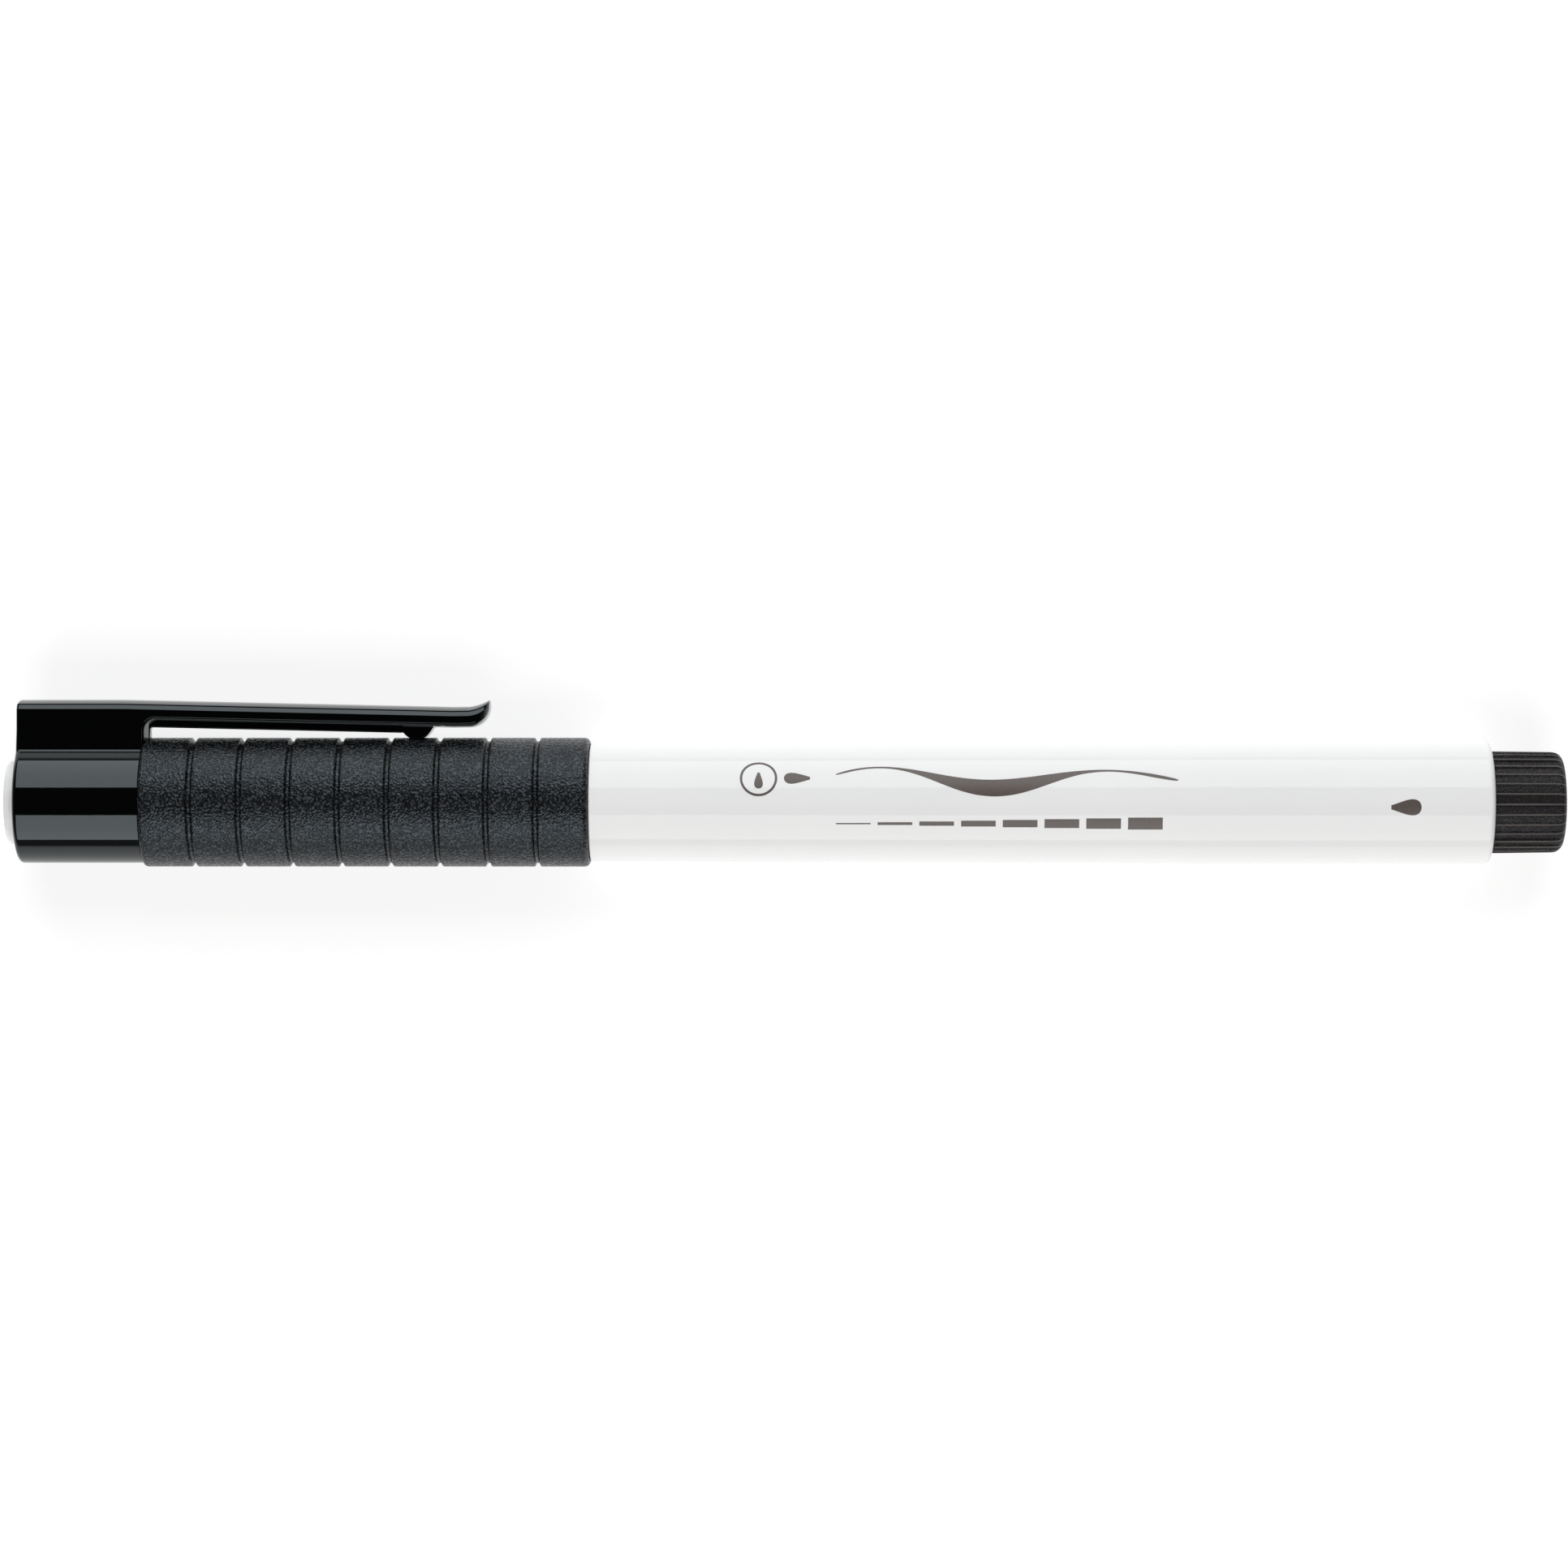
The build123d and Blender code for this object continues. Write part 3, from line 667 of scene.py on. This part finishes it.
def crown_spigot():
    """Tube of the crown inside the sleeve, which holds the sealing cup."""
    outer = SLEEVE_BORE_R - 0.01
    profile = rounded(
        [
            (SLEEVE_START, CROWN_BORE_R),
            (SLEEVE_START, outer),
            (CROWN_SPIGOT_END, outer),
            (CROWN_SPIGOT_END, CROWN_BORE_R),
        ],
        {2: 0.15, 3: 0.05},
    )
    piece = lathe("crown_spigot", profile, GLOSS, "cap")


# Crown and clip, which are one moulding

def spaced(start, end, steps):
    return [start + (end - start) * step / steps for step in range(steps + 1)]


def ridge_height(x):
    """Height of the clip's ridge: level over the crown, sloping along the arm, and flared up at the tip."""
    slope = (FLARE_HEIGHT - CLIP_TOP) / (FLARE_X - BEND_X)
    if x < BEND_X - BEND_HALF:
        return CLIP_TOP
    if x < BEND_X + BEND_HALF:
        return CLIP_TOP + slope * (x - BEND_X + BEND_HALF) ** 2 / (4 * BEND_HALF)
    if x < FLARE_X:
        return CLIP_TOP + slope * (x - BEND_X)
    tilt = math.atan(slope)
    centre_x = FLARE_X - FLARE_R * math.sin(tilt)
    centre_height = FLARE_HEIGHT + FLARE_R * math.cos(tilt)
    past = max(x - TIP_X + TIP_ROUND, 0)
    rounding = TIP_ROUND - math.sqrt(max(TIP_ROUND**2 - past**2, 0))
    return centre_height - math.sqrt(FLARE_R**2 - (x - centre_x) ** 2) - rounding


def under_height(x):
    """Height of the middle of the clip's underside, which follows the round heel up to the tip."""
    if x <= HEEL_X:
        return ridge_height(x) - UNDER_DROP
    centre = ridge_height(HEEL_X) - UNDER_DROP + HEEL_R
    return centre - math.sqrt(max(HEEL_R**2 - (x - HEEL_X) ** 2, 0))


def thickness(x):
    """Share of the clip's full thickness that is left at x."""
    return (ridge_height(x) - under_height(x)) / UNDER_DROP


def rib_height(x):
    """Height of the clip's lowest line: the stiffener, the pip with its ramp, and then the underside."""
    lines = [under_height(x)]
    centre = PIP_BOTTOM + PIP_R
    turn = math.radians(PIP_RAMP_TURN)
    touch_x = PIP_X + PIP_R * math.cos(turn)
    if x < PIP_X:
        lines.append(ridge_height(x) - STIFFENER_DROP)
    if PIP_X - PIP_R < x <= touch_x:
        lines.append(centre - math.sqrt(PIP_R**2 - (x - PIP_X) ** 2))
    if touch_x < x < PIP_RAMP_X:
        touch_height = centre - PIP_R * math.sin(turn)
        share = (x - touch_x) / (PIP_RAMP_X - touch_x)
        lines.append(touch_height + (under_height(PIP_RAMP_X) - touch_height) * share)
    return min(lines)


def half_top():
    """Half of the clip's upper outline as (half width, drop) points, from the ridge to the top of its side.

    The second list says which points belong to one rounded corner, as (first, end, radius).
    """
    curve_r = (LEDGE_HALF_WIDTH**2 + LEDGE_TOP_DROP**2) / (2 * LEDGE_TOP_DROP)
    steps = 8
    points = []
    for step in range(steps):
        width = LEDGE_HALF_WIDTH * step / steps
        points.append((width, curve_r - math.sqrt(curve_r**2 - width**2)))
    points += [
        (LEDGE_HALF_WIDTH, LEDGE_TOP_DROP),
        (LEDGE_HALF_WIDTH, LEDGE_FOOT_DROP),
        (HALF_WIDTH, BEVEL_DROP),
        (HALF_WIDTH, SIDE_DROP),
    ]
    radii = [LEDGE_ROUND, LEDGE_FOOT_ROUND, BEVEL_ROUND]
    rounds = {steps + i: radius for i, radius in enumerate(radii)}
    size = CORNER_STEPS + 3
    corners = [(steps + i * size, steps + (i + 1) * size, radius) for i, radius in enumerate(radii)]
    return rounded(points, rounds, CORNER_STEPS)[:-1], corners


def slot_floor(half_width):
    """Height of the foot of the slot's wall, just clear of the sleeve's curve."""
    return math.sqrt(SLOT_FLOOR_R**2 - half_width**2)


def half_foot(top):
    """Half of the block's lower outline as (half width, height) points.

    It runs from top down the drafted side, and then round the crown.
    """
    draft = math.radians(BLOCK_DRAFT)
    out, up = Vector((math.cos(draft), math.sin(draft))), Vector((-math.sin(draft), math.cos(draft)))
    reach = Vector((HALF_WIDTH, top)).dot(out) + BLOCK_FILLET
    centre = out * reach + up * math.sqrt((CROWN_R + BLOCK_FILLET) ** 2 - reach**2)
    join = math.atan2(centre.x, centre.y)
    edge = centre - out * BLOCK_FILLET + up * SUPPORT
    floor = slot_floor(HALF_WIDTH)
    points = [(HALF_WIDTH + (top - floor) * math.tan(draft), floor), (edge.x, edge.y)]
    for turn in spaced(math.pi + draft, math.pi * 1.5 - join, 6):
        points.append((centre.x + BLOCK_FILLET * math.cos(turn), centre.y + BLOCK_FILLET * math.sin(turn)))
    steps = 84
    for step in range(1, steps + 1):
        angle = join + (math.pi - join) * step / steps
        points.append((CROWN_R * math.sin(angle), CROWN_R * math.cos(angle)))
    return points


def arc(radius, steps=3):
    """Steps round a square corner, as (in from the first face, back from the second) pairs."""
    turns = [math.pi / 2 * step / steps for step in range(steps + 1)]
    return [(radius * (1 - math.cos(a)), radius * (1 - math.sin(a))) for a in turns]


def fillet_line(start_x, radius, height, steps):
    """Line up the slot's wall and round a fillet into the clip's underside.

    Gives (x, height, direction into the material) for the wall's foot and for each step round the fillet.
    The foot's height is 0, because it depends on the place across the wall.
    """
    line = [(start_x, 0.0, (-1.0, 0.0))]
    for inset, back in arc(radius, steps):
        x = start_x + inset
        a = math.asin(1 - back / radius)
        line.append((x, height(x) - back, (-math.cos(a), math.sin(a))))
    return line


def arm_stations():
    """X of the clip's cross-sections, from the slot to the tip."""
    pip_start = PIP_X - 1.215
    pip_end = PIP_X + PIP_R * math.cos(math.radians(PIP_RAMP_TURN))
    stations = [-40.45, -40.3, -39.9, -39.4, -38.8, -38.1, -37.4]
    stations += spaced(-36.4, -18.4, 9)
    stations += spaced(PIP_START_X - 0.15, PIP_START_X + 0.1, 4) + spaced(pip_start, pip_end, 16)
    stations += spaced(pip_end, PIP_RAMP_X, 3)[1:]
    stations += [PIP_RAMP_X + 0.05, -14.2, -13.5, -12.8, HEEL_X - SUPPORT]
    steps = 24
    stations += [HEEL_X + HEEL_R * math.sin(math.pi / 2 * step / steps) for step in range(steps + 1)]
    return stations


def end_shifts(outline, corners, radii):
    """How the block's outline shrinks as its end is rounded off: a function of a point's index and the depth.

    Points on a flat or a wide curve move straight inward. Those of a small corner close up on its mitre.
    """
    inward = []
    for i, (w, h) in enumerate(outline):
        before = outline[i - 1] if i else (-outline[1][0], outline[1][1])
        after = outline[i + 1] if i + 1 < len(outline) else (-outline[-2][0], outline[-2][1])
        along = (Vector(after) - Vector(before)).normalized()
        inward.append(Vector((along.y, -along.x)))
    mitres = {}
    for first, end, radius in corners:
        a, b = Vector(outline[first]), Vector(outline[end - 1])
        along_a = (Vector(outline[first + 1]) - a).normalized()
        along_b = (b - Vector(outline[end - 2])).normalized()
        normal_a, normal_b = Vector((along_a.y, -along_a.x)), Vector((along_b.y, -along_b.x))
        reach = (b - a).cross(along_b) / along_a.cross(along_b)
        corner = a + along_a * reach
        pull = (normal_a + normal_b) / (1 + normal_a.dot(normal_b))
        for i in range(first, end):
            mitres[i] = (corner, pull, radius)

    def shift(i, depth):
        if i not in mitres:
            return inward[i] * depth
        corner, pull, radius = mitres[i]
        share = min(depth / (2 * radius), 1.0)
        closed = corner + pull * depth - Vector(outline[i])
        return (inward[i] * depth).lerp(closed, share)

    return shift


def crown_and_clip():
    """Crown, block and clip as one closed skin. Half of it is built, from its middle plane, and mirrored."""
    bm = bmesh.new()

    def point(x, height, width):
        return bm.verts.new(at(x, height, width))

    top, corners = half_top()
    fillet_steps = 8
    lines = [
        fillet_line(*SIDE_SLOT, lambda x: ridge_height(x) - SIDE_DROP, fillet_steps),
        fillet_line(*EDGE_SLOT, lambda x: ridge_height(x) - UNDER_EDGE_DROP, fillet_steps),
        fillet_line(*MIDDLE_SLOT, under_height, fillet_steps),
        fillet_line(*RIB_SLOT, rib_height, fillet_steps),
    ]
    foot = half_foot(lines[0][1][1])
    split = len(top)
    outline = [(w, CLIP_TOP - drop) for w, drop in top] + [(HALF_WIDTH, lines[0][1][1])] + foot
    rounds = []
    for w, h in outline:
        share = blend_step(math.atan2(w, h), 0.45, 0.75)
        rounds.append(BLOCK_END_ROUND + (CROWN_ROUND - BLOCK_END_ROUND) * share)
    shift = end_shifts(outline, corners, rounds)
    past_sleeve = [0.0] * len(outline)
    past_sleeve[split] = past_sleeve[split + 1] = SIDE_SLOT[0] - SLEEVE_START

    def outline_row(place):
        """Row of the block's skin. place gives a point's x and how far inward it has moved."""
        row = []
        for i, (w, h) in enumerate(outline):
            x, depth = place(i)
            moved = shift(i, depth)
            lift = ridge_height(x) - CLIP_TOP if i < split else 0.0
            row.append(point(x, h + moved.y + lift, w + moved.x))
        return row

    rows = [outline_row(lambda i: (CROWN_END, rounds[i] + SUPPORT))]
    for inset, back in reversed(arc(1.0, 8)):
        rows.append(outline_row(lambda i: (CROWN_END + rounds[i] * back, rounds[i] * inset)))
    stations = [CROWN_END + CROWN_ROUND + SUPPORT, -50.5, -48.0, -45.8]
    stations += [BEND_X + BEND_HALF * share for share in (-1, -0.5, 0, 0.5, 1)]
    rows += [outline_row(lambda i: (x, 0.0)) for x in stations]
    lip = SLEEVE_START - SIDE_ROUND
    rows += [outline_row(lambda i: (x + past_sleeve[i], 0.0)) for x in (lip - SUPPORT, lip)]
    strips(bm, rows)

    # Rounded lip of the block's right-hand face, below the slot
    lip_rows = [rows[-1][split:]]
    for inset, back in arc(SIDE_ROUND)[1:]:
        row = []
        for i in range(split, len(outline)):
            moved = shift(i, inset)
            x = SLEEVE_START + past_sleeve[i] - back
            row.append(point(x, outline[i][1] + moved.y, outline[i][0] + moved.x))
        lip_rows.append(row)
    strips(bm, lip_rows)

    # Sections of the arm, from the foot of the slot's wall to the tip
    sections = []
    for k in range(fillet_steps + 2):
        swell = math.sin(math.pi / 2 * max(k - 1, 0) / fillet_steps)
        sections.append(([line[k] for line in lines], 1.0, 1.0, swell))
    up = (0.0, 1.0)
    for x in arm_stations():
        ridge, depth = ridge_height(x), thickness(x)
        heights = [ridge - SIDE_DROP * depth, ridge - UNDER_EDGE_DROP * depth, under_height(x), rib_height(x)]
        reach = max(x - TIP_X + TIP_CORNER_R, 0)
        width = 1 - (TIP_CORNER_R - math.sqrt(max(TIP_CORNER_R**2 - reach**2, 0))) / HALF_WIDTH
        sections.append(([(x, height, up) for height in heights], depth, width, 1.0))

    def set_back(place, back, half_width):
        """Vertex at a place on the underside, set back into the material, and never inside the sleeve."""
        x, height, into = place
        rest = 0.0
        if x > PIP_START_X - 1:
            rest = math.sqrt(PIP_REST_R**2 - half_width**2)
        elif not height:
            rest = slot_floor(half_width)
        return point(x + into[0] * back, max(height + into[1] * back, rest), half_width)

    upper_rows = [rows[-1][: split + 1]]
    edges, unders = [], []
    for k, ((side, tier, middle, rib), depth, width, swell) in enumerate(sections):
        if k < 2:
            edge = [row[1 - k] for row in lip_rows]
        else:
            edge = [
                set_back(side, back, (HALF_WIDTH - inset) * width) for inset, back in arc(SIDE_ROUND * depth)
            ]
            x = side[0] + side[2][0] * SIDE_ROUND
            row = [point(x, ridge_height(x) - drop * depth, w * width) for w, drop in top]
            upper_rows.append(row + [edge[0]])
        under = [edge[-1], set_back(side, 0, TIER_HALF_WIDTH * width)]
        under += [
            set_back(tier, back, (TIER_HALF_WIDTH - inset) * width) for inset, back in arc(TIER_ROUND * depth)
        ]
        spread = blend_step(rib[0], PIP_START_X - 0.1, PIP_START_X + 0.1)
        half = STIFFENER_HALF_WIDTH + (PIP_HALF_WIDTH - STIFFENER_HALF_WIDTH) * spread
        gap = abs(middle[1] - rib[1]) + abs(middle[0] - rib[0])
        under.append(set_back(middle, 0, half * width))
        under += [
            set_back(rib, back, (half - inset) * width) for inset, back in arc(min(0.1 * swell, gap / 2))
        ]
        under += [set_back(rib, 0, half * width / 2), set_back(rib, 0, 0.0)]
        if k:
            edges.append(edge)
        unders.append(under)
    strips(bm, upper_rows)
    strips(bm, edges)
    strips(bm, unders)
    bm.faces.new(upper_rows[-1][:-1] + edges[-1] + unders[-1][1:])

    # Bottom of the slot's wall over the sleeve's start, then the planar faces and the bore
    wall_foot = unders[0][1:]
    back_row = wall_foot[:1] + [point(SLEEVE_START, v.co.y / MM, v.co.z / MM) for v in wall_foot[1:]]
    strips(bm, [back_row, wall_foot])
    turns = spaced(0, math.pi, 96)
    bores = [(SLEEVE_START, CROWN_BORE_R), (CROWN_BORE_END, CROWN_BORE_R)]
    bores += [(CROWN_BORE_END, CROWN_HOLE_R), (CROWN_END, CROWN_HOLE_R)]
    bore_rows = [[point(x, r * math.cos(a), r * math.sin(a)) for a in turns] for x, r in bores]
    strips(bm, bore_rows)
    bm.faces.new(back_row[::-1] + lip_rows[-1][1:] + bore_rows[0][::-1])
    bm.faces.new(rows[0] + bore_rows[-1][::-1])

    mirrored = bmesh.ops.duplicate(bm, geom=bm.verts[:] + bm.edges[:] + bm.faces[:])
    copies = [v for v in mirrored["geom"] if isinstance(v, bmesh.types.BMVert)]
    bmesh.ops.transform(bm, matrix=Matrix.Scale(-1, 4, (0, 0, 1)), verts=copies)
    piece = finished("crown_and_clip", bm, GLOSS, None, sharp=38.0)
    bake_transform(piece)
    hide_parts("cap_crown", "clip_arm")


# Print

def printed(name, strokes):
    """Ink marks on the barrel. Each stroke is a list of (x, distance round the barrel, half width) points."""
    bm = bmesh.new()
    for stroke in strokes:
        closed = stroke[0] == stroke[-1]
        points = stroke[:-1] if closed else stroke
        count = len(points)
        tops, bottoms = [], []
        for i, (x, s, half) in enumerate(points):
            before = points[(i - 1) % count if closed else max(i - 1, 0)]
            after = points[(i + 1) % count if closed else min(i + 1, count - 1)]
            along = (Vector(after[:2]) - Vector(before[:2])).normalized()
            sideways = Vector((-along.y, along.x))
            top, bottom = [], []
            for step in range(ACROSS_STEPS + 1):
                place = Vector((x, s)) + sideways * half * (2 * step / ACROSS_STEPS - 1)
                r = barrel_radius(place.x)
                angle = place.y / r
                for row, lift in ((top, INK_HEIGHT), (bottom, -INK_DEPTH)):
                    y, z = (r + lift) * math.sin(angle), (r + lift) * math.cos(angle)
                    row.append(bm.verts.new(at(place.x, y, z)))
            tops.append(top)
            bottoms.append(bottom)
        if closed:
            tops.append(tops[0])
            bottoms.append(bottoms[0])
        strips(bm, tops)
        strips(bm, bottoms)
        for side in (0, -1):
            strips(bm, [[row[side] for row in tops], [row[side] for row in bottoms]])
        if not closed:
            for end in (0, -1):
                strips(bm, [tops[end], bottoms[end]])
    return finished(name, bm, INK, "barrel")


def drop_mark(x, s, length, half, tilt=0.0):
    """Ink drop, pointed at one end and round at the other."""
    points = []
    for turn in spaced(0.25, math.pi / 2, 24):
        share = math.sin(turn)
        along = length * (share - 0.5)
        width = 1.54 * half * share**1.6 * math.cos(turn)
        points.append((x + along * math.cos(tilt), s + along * math.sin(tilt), max(width, 0.012)))
    return points


def ring_mark(x, s, r, half):
    steps = 48
    turns = [2 * math.pi * (step % steps) / steps for step in range(steps + 1)]
    return [(x + r * math.cos(a), s + r * math.sin(a), half) for a in turns]


def print_marks():
    """Generic marks: an ink drop in a ring, a brush stroke, a scale of line widths, and two more drops."""
    printed("print_symbol", [
        ring_mark(SYMBOL_X, UPPER_LINE, SYMBOL_R, 0.11),
        drop_mark(SYMBOL_X, 2.35, 2.1, 0.62, math.radians(-90)),
        drop_mark(19.7, UPPER_LINE, 3.2, 0.85, math.radians(180)),
    ])
    sweep = []
    steps = 120
    for step in range(steps + 1):
        share = step / steps
        swing = math.sin(2 * math.pi * (1.5 * share + 0.05)) * (1 - 0.45 * share)
        press = math.sin(math.pi * share) ** 0.6 * (0.55 + 0.45 * math.cos(2 * math.pi * (1.5 * share + 0.3)))
        half = STROKE_THIN_HALF + STROKE_SWELL * press
        sweep.append((STROKE_X + STROKE_LENGTH * share, UPPER_LINE + STROKE_RISE * swing, half))
    printed("print_stroke", [sweep])
    dashes = []
    for step in range(DASH_COUNT):
        start = STROKE_X + step * DASH_PITCH
        half = DASH_THIN_HALF + DASH_GROWTH * step
        dashes.append([(start + DASH_LENGTH * share, LOWER_LINE, half) for share in (0, 0.25, 0.5, 0.75, 1)])
    printed("print_scale", dashes)
    printed("print_drop", [drop_mark(75.0, -0.45, 3.7, 1.15)])


# Floor, lights and camera

def studio_floor():
    """Pale floor that curves up into a low round backdrop."""
    bm = bmesh.new()
    profile = [(0.0, 0.0), (0.3, 0.0), (FLAT_R, 0.0)]
    steps = 12
    for step in range(1, steps + 1):
        a = math.pi / 2 * step / steps
        profile.append((FLAT_R + SWEEP_R * math.sin(a), SWEEP_R * (1 - math.cos(a))))
    profile.append((FLAT_R + SWEEP_R, BACKDROP_HEIGHT))
    centre = at(PICTURE_X)
    sides = 96
    turns = [2 * math.pi * step / sides for step in range(sides)]
    rows = []
    for r, height in profile:
        ring = [(centre.x + r * math.cos(a), r * math.sin(a), FLOOR_Z + height) for a in turns]
        rows.append([bm.verts.new(place) for place in ring])
    strips(bm, rows, closed=True)
    floor = finished("studio_floor", bm, pale_floor(), None)


def softbox(name, angle, spread, colour):
    """Rectangular light that fills spread degrees round angle, seen from the pen.

    An angle of 0 is above the pen, and 90 is on the clip's side.
    """
    width = 2 * LIGHT_DISTANCE * math.tan(math.radians(spread / 2))
    light = bpy.data.lights.new(name, "AREA")
    light.shape = "RECTANGLE"
    light.size, light.size_y = LIGHT_LENGTH, width
    light.energy = LIGHT_RADIANCE * math.pi * LIGHT_LENGTH * width
    light.color = colour
    box = bpy.data.objects.new(name, light)
    tilt = math.radians(angle)
    box.location = at(PICTURE_X) + LIGHT_DISTANCE * Vector((0, math.sin(tilt), math.cos(tilt)))
    box.rotation_euler = (-tilt, 0, 0)
    box.visible_camera = False
    bpy.context.scene.collection.objects.link(box)


def camera():
    """Camera straight above the pen, a little towards its rear, turned to look at the picture's middle."""
    lens = bpy.data.cameras.new("camera")
    lens.sensor_fit = "HORIZONTAL"
    lens.angle = 2 * math.atan(PICTURE_WIDTH / 2 / math.hypot(CAMERA_HEIGHT, CAMERA_SIDESTEP))
    lens.clip_start, lens.clip_end = 0.01, 10.0
    target = at(PICTURE_X, PICTURE_Y)
    place = at(PICTURE_X + CAMERA_SIDESTEP, PICTURE_Y, CAMERA_HEIGHT)
    back = (place - target).normalized()
    right = Vector((0, 1, 0)).cross(back).normalized()
    up = back.cross(right)
    eye = bpy.data.objects.new("camera", lens)
    eye.matrix_world = Matrix.Translation(place) @ Matrix((right, up, back)).transposed().to_4x4()
    bpy.context.scene.collection.objects.link(eye)
    bpy.context.scene.camera = eye


def studio():
    scene = bpy.context.scene
    scene.view_settings.view_transform = "Standard"
    scene.world = bpy.data.worlds.new("world")
    scene.world.use_nodes = True
    scene.world.node_tree.nodes["Background"].inputs["Color"].default_value = (0.02, 0.02, 0.02, 1)
    studio_floor()
    softbox("softbox_upper", 57, 58, (0.985, 0.995, 1.0))
    softbox("softbox_lower", -50, 51, (1.0, 0.995, 0.985))
    camera()


def inside():
    """Better materials on the CAD nodes that stay: the fibre reservoir and its film."""
    for node, material in (
        ("ink_reservoir", fibre("reservoir_fibre", (0.82, 0.81, 0.77, 1), (0.66, 0.65, 0.60, 1), 0.2, 0.03)),
        ("reservoir_film", film()),
    ):
        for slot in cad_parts[node].material_slots:
            slot.material = material


barrel()
grip_section()
brush()
rear_plug()
sleeve()
sealing_cup()
end_disc()
crown_spigot()
crown_and_clip()
inside()
print_marks()
studio()
